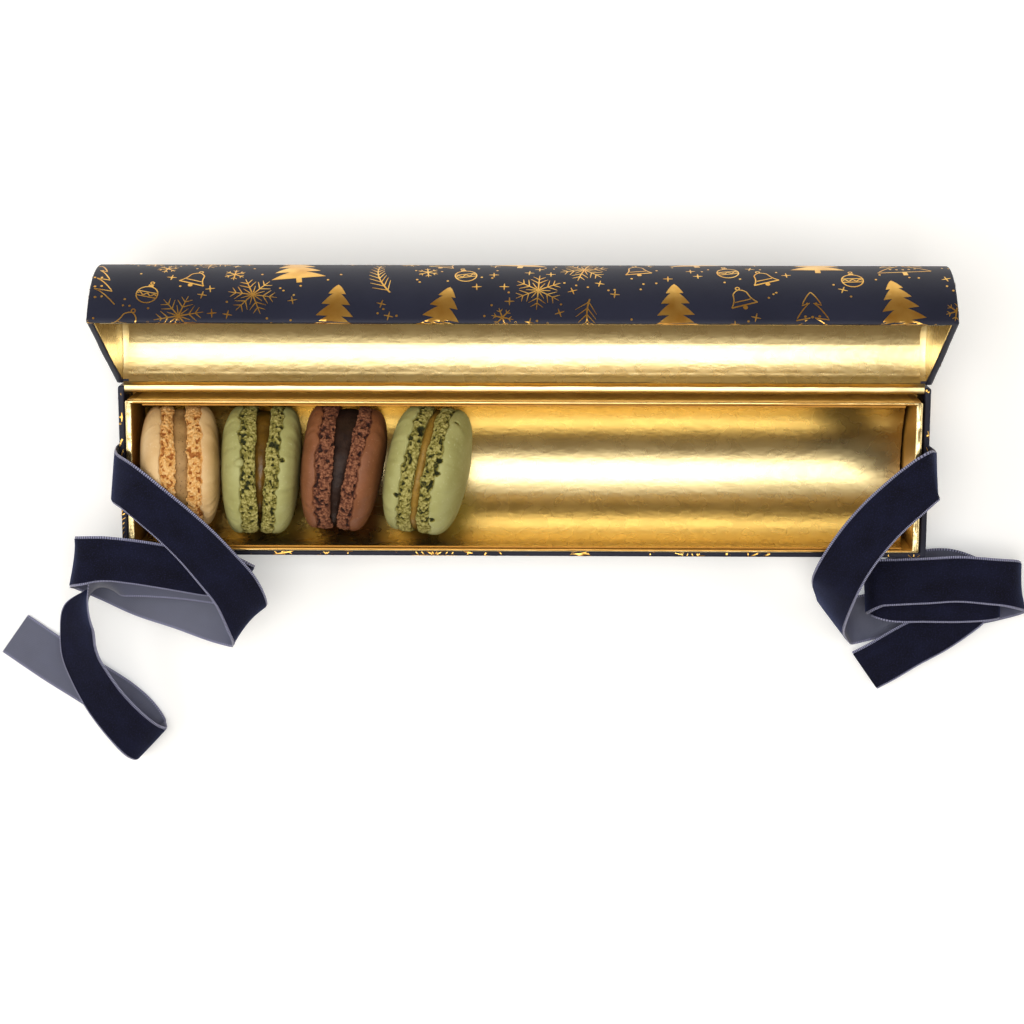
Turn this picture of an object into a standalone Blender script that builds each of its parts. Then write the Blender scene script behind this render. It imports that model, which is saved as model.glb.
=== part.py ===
"""Long gift box with a hinged half-round lid, four macarons on edge in its gold channel and two velvet ribbons.

Metres, +Z up. The origin is the centre of the base's underside; +X runs along the box, +Y is the hinge side.
"""

import math
import random

import bmesh
import bpy
import numpy as np

# Driving dimensions of the box
BOX_LENGTH = 0.285
BOX_DEPTH = 0.0606
BASE_HEIGHT = 0.030
END_BOARD = 0.0022
SIDE_BOARD = 0.0018
FLOOR_BOARD = 0.0022
BOARD_EDGE = 0.0003
GAP = 0.0003

# Collar that stands up inside the base and locates the shut lid
NECK_HALF_LENGTH = 0.1384
NECK_HALF_DEPTH = 0.0265
NECK_END_BOARD = 0.0022
NECK_SIDE_BOARD = 0.001
NECK_TOP = 0.0395
NECK_FOOT_HALF_LENGTH = 0.1400
NECK_FOOT_HALF_DEPTH = 0.0276
NECK_FOOT_TOP = 0.0135

# Round-bottomed card channel that the macarons stand in
CHANNEL_RADIUS = 0.0248
CHANNEL_CARD = 0.0005
CHANNEL_AXIS_HEIGHT = 0.0338
CHANNEL_TOP = 0.0387

# Lid, modelled shut and turned open about the hinge
LID_BOARD = 0.0015
LID_STEPS = 26
LINER_CARD = 0.0003
LINER_GAP = 0.0002
LINER_END_GAP = 0.0018
HINGE_Y = 0.0306
HINGE_Z = 0.03015
LID_OPEN_ANGLE = 118.0

# Paper that joins the base's back wall to the lid
HINGE_PAPER = 0.0003
HINGE_PAPER_FOOT = 0.016
LID_BACK_RELIEF = 0.00055

# Ribbon, 17.5 mm wide, velvet on one face
RIBBON_WIDTH = 0.0175
RIBBON_THICKNESS = 0.0008
RIBBON_STEP = 0.004

# Biscuits: foot width, rounding of the dome, number of facets round
FOOT_WIDTH = 0.0052
FOOT_RELIEF = 0.0008
DOME_POWER = 2.5
BISCUIT_SIDES = 44
FILLING_SIDES = 36
FILLING_INSET = 0.0017

# Each macaron: name, radius, centre height and offset towards the hinge, lean of its top towards +X, then
# for the left and the right biscuit the place of the inner face along X, the thickness and the yaw
MACARONS = (
    ("vanilla", 0.0213, 0.03205, 0.0022, 8.0, (-0.1227, 0.0120, 0.5), (-0.1182, 0.0114, -0.5)),
    ("pistachio_a", 0.0225, 0.03235, 0.0013, 4.5, (-0.0935, 0.0125, 0.0), (-0.0902, 0.0119, -6.0)),
    ("chocolate", 0.0219, 0.03235, 0.0021, 0.5, (-0.0660, 0.0116, -3.5), (-0.0613, 0.0121, -12.0)),
    ("pistachio_b", 0.0225, 0.03305, 0.0014, -5.5, (-0.0351, 0.0125, -9.6), (-0.0325, 0.0131, -10.9)),
)

# Pieces broken out of the biscuits: biscuit, angle round from the top towards the hinge, distance out
# from the inner face, depth and spread
CHIPS = {
    "pistachio_b_left": ((45.0, 0.0014, 0.0014, 0.0026),),
    "pistachio_b_right": ((64.0, 0.0070, 0.0014, 0.0020),),
    "pistachio_a_left": ((16.0, 0.0046, -0.0009, 0.0018),),
}

# Ribbon routes in millimetres and degrees: centre x, y, z, then the heading and the dip of the line
# across the ribbon, from its hinge-side edge to its other edge
LEFT_ROUTE = (
    (-143.6, 0, 4, -90, 0), (-143.6, 0, 20, -90, 0), (-143.9, 0, 31, -92, 0),
    (-142.2, -0.3, 42.5, -100, -6), (-136.5, -2, 50.2, -113, -14), (-130, -6.5, 52.9, -126, -17),
    (-121, -14.5, 52.3, -134, -15), (-113.5, -22.5, 50.2, -138, -10), (-106.5, -31.5, 47.5, -141, -3),
    (-100.5, -41, 43, -143, 6), (-98, -53.5, 33.5, -131, 3), (-102, -56.5, 25.5, -124, 3),
    (-110.5, -55.5, 22.5, -115, 0), (-123.3, -51.3, 20.8, -111, 0), (-138, -46.8, 19.2, -110, 0),
    (-149.8, -41.5, 18.3, -106, 0), (-158, -36.5, 22, -103, 0), (-159.4, -33, 32.5, -101, -3),
    (-156, -30.5, 39.5, -100, -8), (-147.5, -29.5, 41.5, -100, -12), (-137, -30.5, 41.5, -99, -12),
    (-125, -32.5, 41, -100, -12), (-113, -35, 39.5, -100, -13), (-104.5, -37, 37, -101, -14),
    (-100.5, -40, 34.5, -101, -14), (-99.8, -42, 31.5, -101, -14), (-102.5, -41.5, 29.5, -102, -13),
    (-110, -40, 30, -98, -12), (-122.5, -38.5, 30, -96, -14), (-135.5, -38, 30, -97, -18),
    (-144.5, -38.2, 30.6, -95, -22), (-150.3, -40.3, 30.6, -106, -42),
    (-154.6, -44.5, 30.8, -136, -60), (-158.6, -51.8, 30.6, -168, -43), (-160.2, -61, 27.5, -182, -34),
    (-159.8, -69, 25.5, -172, -28), (-157.5, -76.5, 23, -158, -25), (-152.5, -87.5, 19.5, -148, -18),
    (-146, -97.5, 16, -141, -10), (-140.5, -104.5, 12, -133, -2), (-138, -107, 7, -133, 0),
    (-139.5, -105, 2.5, -128, 0), (-144.5, -98, 1.2, -129, 0), (-151, -92, 1.2, -126, 0),
    (-160, -86, 1.2, -124, 0), (-174.5, -76.5, 1.2, -124, 0), (-188.5, -66.5, 1.2, -125, 0),
)
RIGHT_ROUTE = (
    (143.6, 0, 4, -90, 0), (143.6, 0, 20, -90, 0), (144.5, 0, 34, -88, 0), (142, 1.5, 43, -77, 0),
    (138, -1, 45, -69, -1), (132.5, -5.5, 46, -58, 0), (125, -12.5, 46.5, -49, 0),
    (119, -19.5, 46.5, -42, 2), (114.5, -26.5, 45, -27, 5), (111.5, -32.5, 43, -20, 11),
    (109.5, -38.5, 39.5, -17, 23), (109, -44.5, 33, -26, 36), (110, -52.5, 22, -47, 41),
    (113, -58, 10.5, -53, 18), (118.5, -60, 3.5, -61, 6), (128, -58.5, 1.5, -75, 1),
    (139.5, -56.5, 1.2, -79, 0), (154, -54.5, 1.2, -80, 0), (167, -52.5, 1.7, -80, 0),
    (176.5, -49, 5, -82, 0), (180, -45.5, 11, -84, 0), (176.5, -42.5, 17.5, -84, -3),
    (167.5, -41, 20.5, -87, -5), (156, -40, 21.5, -89, -5), (145, -40.5, 22, -91, -4),
    (134.5, -41, 22, -93, -3), (126, -42, 20.5, -90, -1), (123.5, -45.5, 15, -86, 0),
    (126, -46, 9.5, -86, 0), (130.5, -45.5, 6.5, -85, 0), (135, -44, 5, -85, 0),
    (145.5, -41.5, 4.5, -87, 0), (154, -41, 4.5, -87, 0), (162, -43.5, 5, -87, 0),
    (169, -47, 6.5, -89, 0), (172.5, -48, 11, -88, 0), (167.5, -48, 16, -87, -1),
    (157.5, -48.5, 16.8, -86, -2), (145, -48.5, 16.8, -87, -2), (133.5, -48.5, 16.2, -87, -2),
    (127.5, -47, 15, -87, -1), (126, -47, 13, -87, 0), (129, -47.5, 10.5, -86, 0),
    (137.5, -48.5, 8.5, -84, 0), (149, -48.5, 8.1, -80, 0), (158.5, -48.5, 8.6, -76, 0),
    (163.5, -49, 10, -72, 0), (162, -51.5, 12, -60, -1), (156.5, -56.5, 12, -52, -4),
    (149, -62.5, 10.5, -51, -5), (140, -68.5, 8, -53, -5), (131.5, -74.5, 6, -54, -4),
    (125.5, -78.5, 4, -53, -3),
)

# Material: colour, roughness, metallic
FINISHES = {
    "printed_paper": ((0.012, 0.016, 0.045), 0.45, 0.0),
    "gold_paper": ((0.72, 0.46, 0.14), 0.28, 1.0),
    "velvet": ((0.008, 0.009, 0.028), 0.95, 0.0),
    "vanilla_biscuit": ((0.73, 0.52, 0.28), 0.6, 0.0),
    "vanilla_filling": ((0.42, 0.32, 0.20), 0.6, 0.0),
    "pistachio_biscuit": ((0.39, 0.49, 0.23), 0.6, 0.0),
    "pistachio_filling": ((0.33, 0.17, 0.04), 0.35, 0.0),
    "chocolate_biscuit": ((0.22, 0.08, 0.042), 0.6, 0.0),
    "chocolate_filling": ((0.02, 0.008, 0.005), 0.5, 0.0),
}


def clear_scene():
    """Remove the objects of the file that the script starts in."""
    for item in list(bpy.data.objects):
        bpy.data.objects.remove(item, do_unlink=True)


def finish(name):
    """The Principled material of one finish, made once."""
    if name in bpy.data.materials:
        return bpy.data.materials[name]
    colour, roughness, metallic = FINISHES[name]
    material = bpy.data.materials.new(name)
    material.use_nodes = True
    shader = material.node_tree.nodes["Principled BSDF"]
    shader.inputs["Base Color"].default_value = (*colour, 1.0)
    shader.inputs["Roughness"].default_value = roughness
    shader.inputs["Metallic"].default_value = metallic
    return material


def solid(name, points, faces, material):
    """One closed mesh object with its faces turned outwards."""
    mesh = bpy.data.meshes.new(name)
    mesh.from_pydata([tuple(map(float, point)) for point in points], [], faces)
    shell = bmesh.new()
    shell.from_mesh(mesh)
    bmesh.ops.recalc_face_normals(shell, faces=shell.faces)
    shell.to_mesh(mesh)
    shell.free()
    mesh.shade_smooth()
    mesh.set_sharp_from_angle(angle=math.radians(35.0))
    mesh.materials.append(finish(material))
    item = bpy.data.objects.new(name, mesh)
    bpy.context.collection.objects.link(item)
    return item


def soften(item):
    """Round the board edges of a papered shell a little."""
    bevel = item.modifiers.new("edges", "BEVEL")
    bevel.width = BOARD_EDGE
    bevel.segments = 1
    bevel.limit_method = "ANGLE"
    bevel.angle_limit = math.radians(40.0)


def skin(rings):
    """Points and faces of a body skinned over a row of closed rings, each end fanned to its middle."""
    rings = np.asarray(rings)
    count, sides = rings.shape[:2]
    points = np.vstack([rings.reshape(-1, 3), rings[0].mean(axis=0), rings[-1].mean(axis=0)])
    first, last = count * sides, count * sides + 1
    faces = []
    for side in range(sides):
        after = (side + 1) % sides
        for ring in range(count - 1):
            low, high = ring * sides, (ring + 1) * sides
            faces.append((low + side, low + after, high + after, high + side))
        end = (count - 1) * sides
        faces.append((first, after, side))
        faces.append((last, end + side, end + after))
    return points, faces


def open_shell(outer, inner, outer_half, inner_half):
    """Points and faces of a trough with end walls: its outer and inner section, (y, z) from rim to rim."""
    count = len(outer)
    points = []
    for section, half in ((outer, outer_half), (inner, inner_half)):
        for x in (-half, half):
            points += [(x, y, z) for y, z in section]
    left_out, right_out, left_in, right_in = (list(range(k * count, (k + 1) * count)) for k in range(4))
    faces = [tuple(run) for run in (left_out, right_out, left_in, right_in)]
    for left, right in ((left_out, right_out), (left_in, right_in)):
        faces += [(left[k], left[k + 1], right[k + 1], right[k]) for k in range(count - 1)]
    for k in (0, -1):
        faces.append((left_out[k], right_out[k], right_in[k], left_in[k]))
    for out_run, in_run in ((left_out, left_in), (right_out, right_in)):
        faces.append((out_run[0], out_run[-1], in_run[-1], in_run[0]))
    return points, faces


def rectangle_loop(levels):
    """Points and faces of a four-sided ring: half length, half depth and height of each corner of its section."""
    points = []
    for half_x, half_y, z in levels:
        points += [(-half_x, -half_y, z), (half_x, -half_y, z), (half_x, half_y, z), (-half_x, half_y, z)]
    faces = []
    for level in range(len(levels)):
        above = (level + 1) % len(levels)
        for side in range(4):
            after = (side + 1) % 4
            faces.append((4 * level + side, 4 * level + after, 4 * above + after, 4 * above + side))
    return points, faces


def card_along(section, thickness, half_length):
    """Rings of a card bent along a section of (y, z) points, its thickness laid to the left of the run."""
    line = np.asarray(section)
    run = np.gradient(line, axis=0)
    run /= np.linalg.norm(run, axis=1)[:, None]
    side = np.column_stack([-run[:, 1], run[:, 0]])
    rings = []
    for inner, normal in zip(line, side):
        outer = inner + normal * thickness
        rings.append([(-half_length, *inner), (half_length, *inner), (half_length, *outer), (-half_length, *outer)])
    return rings


def base_shell():
    """Papered board tray, open at the top."""
    half_y, height = BOX_DEPTH / 2, BASE_HEIGHT
    inner_y = half_y - SIDE_BOARD
    outer = [(-half_y, height), (-half_y, 0.0), (half_y, 0.0), (half_y, height)]
    inner = [(-inner_y, height), (-inner_y, FLOOR_BOARD), (inner_y, FLOOR_BOARD), (inner_y, height)]
    points, faces = open_shell(outer, inner, BOX_LENGTH / 2, BOX_LENGTH / 2 - END_BOARD)
    soften(solid("base_shell", points, faces, "printed_paper"))


def neck():
    """Gold-papered collar, thick where it is glued inside the base and thin above."""
    inner_x = NECK_HALF_LENGTH - NECK_END_BOARD
    inner_y = NECK_HALF_DEPTH - NECK_SIDE_BOARD
    bottom = FLOOR_BOARD + GAP
    levels = (
        (NECK_FOOT_HALF_LENGTH, NECK_FOOT_HALF_DEPTH, bottom),
        (NECK_FOOT_HALF_LENGTH, NECK_FOOT_HALF_DEPTH, NECK_FOOT_TOP),
        (NECK_HALF_LENGTH, NECK_HALF_DEPTH, NECK_FOOT_TOP),
        (NECK_HALF_LENGTH, NECK_HALF_DEPTH, NECK_TOP),
        (inner_x, inner_y, NECK_TOP),
        (inner_x, inner_y, bottom),
    )
    solid("neck", *rectangle_loop(levels), "gold_paper")


def channel():
    """Gold card bent to a U, hung between the collar's long walls."""
    radius = CHANNEL_RADIUS
    steps = 24
    turn = np.linspace(0.0, math.pi, steps + 1)
    arc = np.column_stack([radius * np.cos(turn), CHANNEL_AXIS_HEIGHT - radius * np.sin(turn)])
    section = np.vstack([(radius, CHANNEL_TOP), arc, (-radius, CHANNEL_TOP)])
    half = NECK_HALF_LENGTH - NECK_END_BOARD - GAP
    solid("channel", *skin(card_along(section, CHANNEL_CARD, half)), "gold_paper")


def hinge_paper():
    """Paper strip glued inside the base's back wall and folded over its rim towards the lid."""
    inside = BOX_DEPTH / 2 - SIDE_BOARD - GAP
    top = BASE_HEIGHT + GAP
    section = [(inside, HINGE_PAPER_FOOT), (inside, top), (BOX_DEPTH / 2, top)]
    rings = []
    for (y, z), (shift_y, shift_z) in zip(section, ((-1, 0), (-1, 1), (0, 1))):
        half = BOX_LENGTH / 2 - END_BOARD - GAP
        far_y, far_z = y + shift_y * HINGE_PAPER, z + shift_z * HINGE_PAPER
        rings.append([(-half, y, z), (half, y, z), (half, far_y, far_z), (-half, far_y, far_z)])
    solid("hinge_paper", *skin(rings), "gold_paper")


def half_round(radius, floor_angle=0.0):
    """Arc over the box from its front rim to its back rim, the back end raised by floor_angle."""
    turn = np.linspace(math.pi, floor_angle, LID_STEPS + 1)
    z = BASE_HEIGHT + GAP + radius * np.sin(turn)
    return np.column_stack([radius * np.cos(turn) - HINGE_Y, z - HINGE_Z])


def lid(hinge):
    """Half-round board lid and its gold lining, shut in their own axes and carried by the hinge."""
    outer_radius = BOX_DEPTH / 2
    inner_radius = outer_radius - LID_BOARD
    outer = half_round(outer_radius, LID_BACK_RELIEF / outer_radius)
    inner = half_round(inner_radius, LID_BACK_RELIEF / inner_radius)
    points, faces = open_shell(outer, inner, BOX_LENGTH / 2, BOX_LENGTH / 2 - END_BOARD)
    shell = solid("lid_shell", points, faces, "printed_paper")
    soften(shell)
    liner_radius = inner_radius - LINER_GAP - LINER_CARD
    section = half_round(liner_radius, LID_BACK_RELIEF / liner_radius)
    half = BOX_LENGTH / 2 - END_BOARD - LINER_END_GAP
    liner = solid("lid_liner", *skin(card_along(section, LINER_CARD, half)), "gold_paper")
    for piece in (shell, liner):
        piece.parent = hinge


def uneven(rng, sides, waves=4):
    """Small smooth variation round a ring, from a few waves of random size and phase."""
    angle = np.linspace(0.0, 2 * math.pi, sides, endpoint=False)
    total = np.zeros(sides)
    for wave in range(2, 2 + waves):
        total += rng.uniform(0.3, 1.0) / wave * np.cos(wave * angle + rng.uniform(0.0, 2 * math.pi))
    return total


def biscuit_rings(name, radius, thickness, side):
    """Rings of one biscuit about local X: flat inner face, ruffled foot, then a superellipse dome."""
    rng = random.Random(name)
    angle = np.linspace(0.0, 2 * math.pi, BISCUIT_SIDES, endpoint=False)
    outline = 1.0 - 0.006 * (1.0 + uneven(rng, BISCUIT_SIDES))
    foot = [(0.0, 0.972), (0.14, 0.992), (0.45, 0.997), (0.78, 0.992), (1.0, 0.970)]
    rows = [(0.0, 0.62 * radius, 0.0)]
    rows += [(share * FOOT_WIDTH, radius * grow, FOOT_RELIEF) for share, grow in foot]
    for rise in (0.05, 0.30, 0.54, 0.74, 0.89, 0.975):
        level = FOOT_WIDTH + rise * (thickness - FOOT_WIDTH)
        rows.append((level, radius * (1.0 - rise ** DOME_POWER) ** (1.0 / DOME_POWER), 0.0))
    rings = []
    for level, ring_radius, relief in rows:
        rough = np.array([rng.uniform(0.0, 1.0) for _ in angle]) * relief
        reach = ring_radius * outline - rough
        out = np.full_like(angle, level) + rough * 0.2
        for chip_angle, chip_level, depth, spread in CHIPS.get(name, ()):
            along = radius * np.angle(np.exp(1j * (angle - math.radians(chip_angle))))
            reach -= depth * np.exp(-(along ** 2 + (level - chip_level) ** 2) / spread ** 2) * (level > 0.0)
        rings.append(np.column_stack([side * out, reach * np.sin(angle), reach * np.cos(angle)]))
    return rings


def turned_plane(x, yaw, lean):
    """Function giving the X of a leaning, yawed face plane at an offset (y, z) from its centre."""
    across, up = math.tan(math.radians(-yaw)), math.tan(math.radians(lean)) / math.cos(math.radians(yaw))
    return lambda y, z: x + across * y + up * z


def filling_rings(name, radius, left_plane, right_plane, centre_y, centre_z):
    """Rings of the filling: a disc that fills the wedge between two biscuits, its rim bulging a little."""
    rng = random.Random(name + "_filling")
    angle = np.linspace(0.0, 2 * math.pi, FILLING_SIDES, endpoint=False)
    reach = radius - FILLING_INSET + 0.0004 * uneven(rng, FILLING_SIDES)
    y, z = np.sin(angle), np.cos(angle)
    rings = []
    for share, grow in ((0.0, 0.5), (0.0, 0.965), (0.25, 1.01), (0.75, 1.01), (1.0, 0.965), (1.0, 0.5)):
        ring_y, ring_z = grow * reach * y, grow * reach * z
        low = left_plane(ring_y, ring_z) + GAP
        high = right_plane(ring_y, ring_z) - GAP
        x = low + share * (high - low)
        rings.append(np.column_stack([x, ring_y + centre_y, ring_z + centre_z]))
    return rings


def macaron(name, radius, height, offset, lean, left, right):
    """Two biscuits and the filling between them, standing on edge in the channel."""
    flavour = name.split("_")[0]
    for label, side, (x, thickness, yaw) in (("left", -1, left), ("right", 1, right)):
        node = f"{name}_{label}"
        biscuit = solid(node, *skin(biscuit_rings(node, radius, thickness, side)), flavour + "_biscuit")
        biscuit.location = (x, offset, height)
        biscuit.rotation_euler = (0.0, math.radians(lean), math.radians(yaw))
    planes = [turned_plane(x, yaw, lean) for x, _, yaw in (left, right)]
    rings = filling_rings(name, radius, *planes, offset, height)
    solid(name + "_filling", *skin(rings), flavour + "_filling")


def through(values, knots, places):
    """Cubic Hermite curve through values at uneven knots, its slopes from the neighbouring points."""
    slopes = np.gradient(values, knots, axis=0)
    span = np.clip(np.searchsorted(knots, places, side="right") - 1, 0, len(knots) - 2)
    width = (knots[span + 1] - knots[span])[:, None]
    s = (places - knots[span])[:, None] / width
    start, end = values[span], values[span + 1]
    rise_start, rise_end = width * slopes[span], width * slopes[span + 1]
    blend = s * s * (3.0 - 2.0 * s)
    return start + blend * (end - start) + s * (1 - s) ** 2 * rise_start - s * s * (1 - s) * rise_end


def ribbon(name, route):
    """Flat ribbon swept along its route, four corners to a ring, square to the run everywhere."""
    table = np.array(route, dtype=float)
    centre = table[:, :3] * 0.001
    heading, dip = np.radians(table[:, 3]), np.radians(table[:, 4])
    across = np.column_stack([np.cos(heading) * np.cos(dip), np.sin(heading) * np.cos(dip), np.sin(dip)])
    chords = np.linalg.norm(np.diff(centre, axis=0), axis=1)
    knots = np.concatenate([[0.0], np.cumsum(np.sqrt(chords))])
    fine = np.linspace(0.0, knots[-1], 2000)
    line = through(centre, knots, fine)
    length = np.concatenate([[0.0], np.cumsum(np.linalg.norm(np.diff(line, axis=0), axis=1))])
    count = int(round(length[-1] / RIBBON_STEP))
    places = np.interp(np.linspace(0.0, length[-1], count + 1), length, fine)
    middle, across = through(centre, knots, places), through(across, knots, places)
    run = np.gradient(middle, axis=0)
    run /= np.linalg.norm(run, axis=1)[:, None]
    across -= (across * run).sum(axis=1)[:, None] * run
    across /= np.linalg.norm(across, axis=1)[:, None]
    face = np.cross(run, across)
    half, thick = across * RIBBON_WIDTH / 2, face * RIBBON_THICKNESS / 2
    corners = (middle - half - thick, middle + half - thick, middle + half + thick, middle - half + thick)
    solid(name, *skin(np.stack(corners, axis=1)), "velvet")


clear_scene()
hinge = bpy.data.objects.new("lid_hinge", None)
bpy.context.collection.objects.link(hinge)
hinge.location = (0.0, HINGE_Y, HINGE_Z)
hinge.rotation_euler = (math.radians(-LID_OPEN_ANGLE), 0.0, 0.0)
base_shell()
neck()
channel()
hinge_paper()
lid(hinge)
for entry in MACARONS:
    macaron(*entry)
ribbon("ribbon_left", LEFT_ROUTE)
ribbon("ribbon_right", RIGHT_ROUTE)
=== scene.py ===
import math

import bmesh
import bpy
import numpy as np
from mathutils import Euler, Matrix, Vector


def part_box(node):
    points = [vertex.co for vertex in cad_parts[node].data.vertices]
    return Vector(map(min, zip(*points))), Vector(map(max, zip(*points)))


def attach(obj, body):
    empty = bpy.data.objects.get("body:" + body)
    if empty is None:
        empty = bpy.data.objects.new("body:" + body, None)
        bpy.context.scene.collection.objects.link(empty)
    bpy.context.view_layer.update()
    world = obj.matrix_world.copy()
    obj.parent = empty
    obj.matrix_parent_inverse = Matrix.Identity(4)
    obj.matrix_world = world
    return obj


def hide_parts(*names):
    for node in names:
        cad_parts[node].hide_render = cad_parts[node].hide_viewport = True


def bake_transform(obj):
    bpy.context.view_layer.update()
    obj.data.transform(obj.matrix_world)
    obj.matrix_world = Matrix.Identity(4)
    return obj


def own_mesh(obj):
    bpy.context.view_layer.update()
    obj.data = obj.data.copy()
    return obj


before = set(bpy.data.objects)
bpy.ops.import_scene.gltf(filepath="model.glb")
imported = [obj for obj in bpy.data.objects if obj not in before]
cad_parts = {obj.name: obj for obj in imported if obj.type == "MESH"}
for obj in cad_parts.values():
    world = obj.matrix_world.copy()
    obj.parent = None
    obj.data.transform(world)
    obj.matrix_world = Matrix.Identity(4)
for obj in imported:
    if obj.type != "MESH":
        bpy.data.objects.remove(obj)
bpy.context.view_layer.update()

# Base tray. Two millimetre grey board is creased, folded up and taped at its corners, and night-blue printed
# paper is glued round it, over the rim and a little way down inside.
HALF_LENGTH, HALF_DEPTH, BASE_HEIGHT = (float(side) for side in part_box("base_shell")[1])
END_BOARD = 0.0022
SIDE_BOARD = 0.0018
FLOOR_BOARD = 0.0022
TRAY_CORNER = 0.0009
TRAY_EDGE = 0.0005
TRAY_STEP = 0.004


def tone(red, green, blue):
    """Linear colour of an sRGB colour given in steps of 255."""
    share = np.array([red, green, blue]) / 255.0
    linear = np.where(share > 0.04045, ((share + 0.055) / 1.055) ** 2.4, share / 12.92)
    return (*(float(part) for part in linear), 1.0)


def cells(rows, columns, ring_rows=False, ring_columns=False):
    """Face corners of a grid of points in rows and columns. A ring joins the last row or column to the
    first."""
    row = np.arange(rows if ring_rows else rows - 1)[:, None] * columns
    above = (row + columns) % (rows * columns)
    column = np.arange(columns if ring_columns else columns - 1)[None, :]
    beside = (column + 1) % columns
    corners = (row + column, row + beside, above + beside, above + column)
    return np.stack(np.broadcast_arrays(*corners), axis=-1).reshape(-1, 4)


def build(name, points, faces, finishes, finish_of=None, uv=None, values=(), sharp=40.0, weld=True,
          fill=False):
    """Mesh object from points and face corners; without faces, the points are a grid whose columns go round.
    finish_of numbers each face's finish, uv has a pair for each face corner, and values holds named numbers
    for each point. weld joins points that coincide, and fill closes open ends. Edges that turn by more than
    sharp degrees stay crisp."""
    faces = cells(*points.shape[:2], ring_columns=True) if faces is None else faces
    mesh = bpy.data.meshes.new(name)
    mesh.from_pydata(points.reshape(-1, 3).tolist(), [], np.asarray(faces).tolist())
    for finish in finishes:
        mesh.materials.append(finish)
    if finish_of is not None:
        mesh.polygons.foreach_set("material_index", np.asarray(finish_of, dtype=np.int32))
    if uv is not None:
        mesh.uv_layers.new(name="UVMap").uv.foreach_set("vector", np.asarray(uv, float).ravel())
    for label, numbers in dict(values).items():
        layer = mesh.attributes.new(label, "FLOAT", "POINT")
        layer.data.foreach_set("value", np.ravel(numbers).astype(float))
    if weld or fill:
        work = bmesh.new()
        work.from_mesh(mesh)
        if weld:
            bmesh.ops.remove_doubles(work, verts=work.verts, dist=1e-7)
        if fill:
            bmesh.ops.holes_fill(work, edges=[edge for edge in work.edges if edge.is_boundary])
        bmesh.ops.recalc_face_normals(work, faces=work.faces)
        work.to_mesh(mesh)
        work.free()
    mesh.shade_smooth()
    mesh.set_sharp_from_angle(angle=math.radians(sharp))
    item = bpy.data.objects.new(name, mesh)
    bpy.context.scene.collection.objects.link(item)
    return item


def dress(item, body, slot, *nodes):
    """Say which body a piece rides on and which nodes it stands for. The slot is not used."""
    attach(item, body)
    if nodes:
        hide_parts(*nodes)


def node(beside, kind, given=(), **settings):
    """Outputs of a new shader node, in the tree of a node or socket that it goes beside. given maps its
    inputs to numbers or to other nodes' outputs."""
    made = beside.id_data.nodes.new("ShaderNode" + kind)
    for key, value in settings.items():
        setattr(made, key, value)
    for key, value in dict(given).items():
        if isinstance(value, bpy.types.NodeSocket):
            beside.id_data.links.new(value, made.inputs[key])
        else:
            made.inputs[key].default_value = value
    return made.outputs


def material(name, coordinates="Object", **fixed):
    """New material: itself, its Principled shader and its coordinates."""
    made = bpy.data.materials.new(name)
    made.use_nodes = True
    shader = made.node_tree.nodes["Principled BSDF"]
    for key, value in fixed.items():
        shader.inputs[key.replace("_", " ")].default_value = value
    return made, shader, node(shader, "TexCoord")[coordinates]


def feed(shader, **sockets):
    """Link nodes' outputs to the shader's sockets of these names."""
    for key, output in sockets.items():
        shader.id_data.links.new(output, shader.inputs[key.replace("_", " ")])


def grain(place, size, stretch=(1.0, 1.0, 1.0), detail=3.0):
    """Noise with features about size metres across, drawn out along the axes by stretch."""
    shares = tuple(1.0 / length for length in stretch)
    scaled = node(place, "VectorMath", {0: place, 1: shares}, operation="MULTIPLY")[0]
    return node(place, "TexNoise", {"Vector": scaled, "Scale": 1.0 / size, "Detail": detail})[0]


def ramp(factor, *stops):
    """Colour ramp through (place, colour) stops."""
    colour = node(factor, "ValToRGB", {0: factor})["Color"]
    bar = colour.node.color_ramp
    while len(bar.elements) < len(stops):
        bar.elements.new(1.0)
    for element, (place, shade) in zip(bar.elements, stops):
        element.position = place
        element.color = shade
    return colour


def level(factor, low, high, start=0.0, end=1.0):
    """The factor's span from low to high spread over start to end, and held there beyond."""
    given = {"Value": factor, "From Min": low, "From Max": high, "To Min": start, "To Max": end}
    return node(factor, "MapRange", given, clamp=True)[0]


def mixed(factor, first, second):
    """Two colours mixed by a factor. A Mix node's colours are its sockets 6 and 7, and its output 2."""
    return node(factor, "Mix", {0: factor, 6: first, 7: second}, data_type="RGBA")[2]


def relief(shader, height, distance, strength=1.0):
    """Bump of the given height in metres on the shader's normal, over any that is already there."""
    given = {"Height": height, "Distance": distance, "Strength": strength}
    if shader.inputs["Normal"].links:
        given["Normal"] = shader.inputs["Normal"].links[0].from_socket
    feed(shader, Normal=node(shader, "Bump", given)["Normal"])


def night_paper():
    """Night-blue offset-printed paper, silk varnished: faint fibre relief, slow changes of tone."""
    made, shader, place = material("night_paper", Roughness=0.5, Specular_IOR_Level=0.22)
    colour = ramp(grain(place, 0.03), (0.35, tone(27, 30, 47)), (0.65, tone(35, 38, 56)))
    feed(shader, Base_Color=colour)
    relief(shader, grain(place, 0.0007, detail=5.0), 0.00002)
    return made


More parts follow.
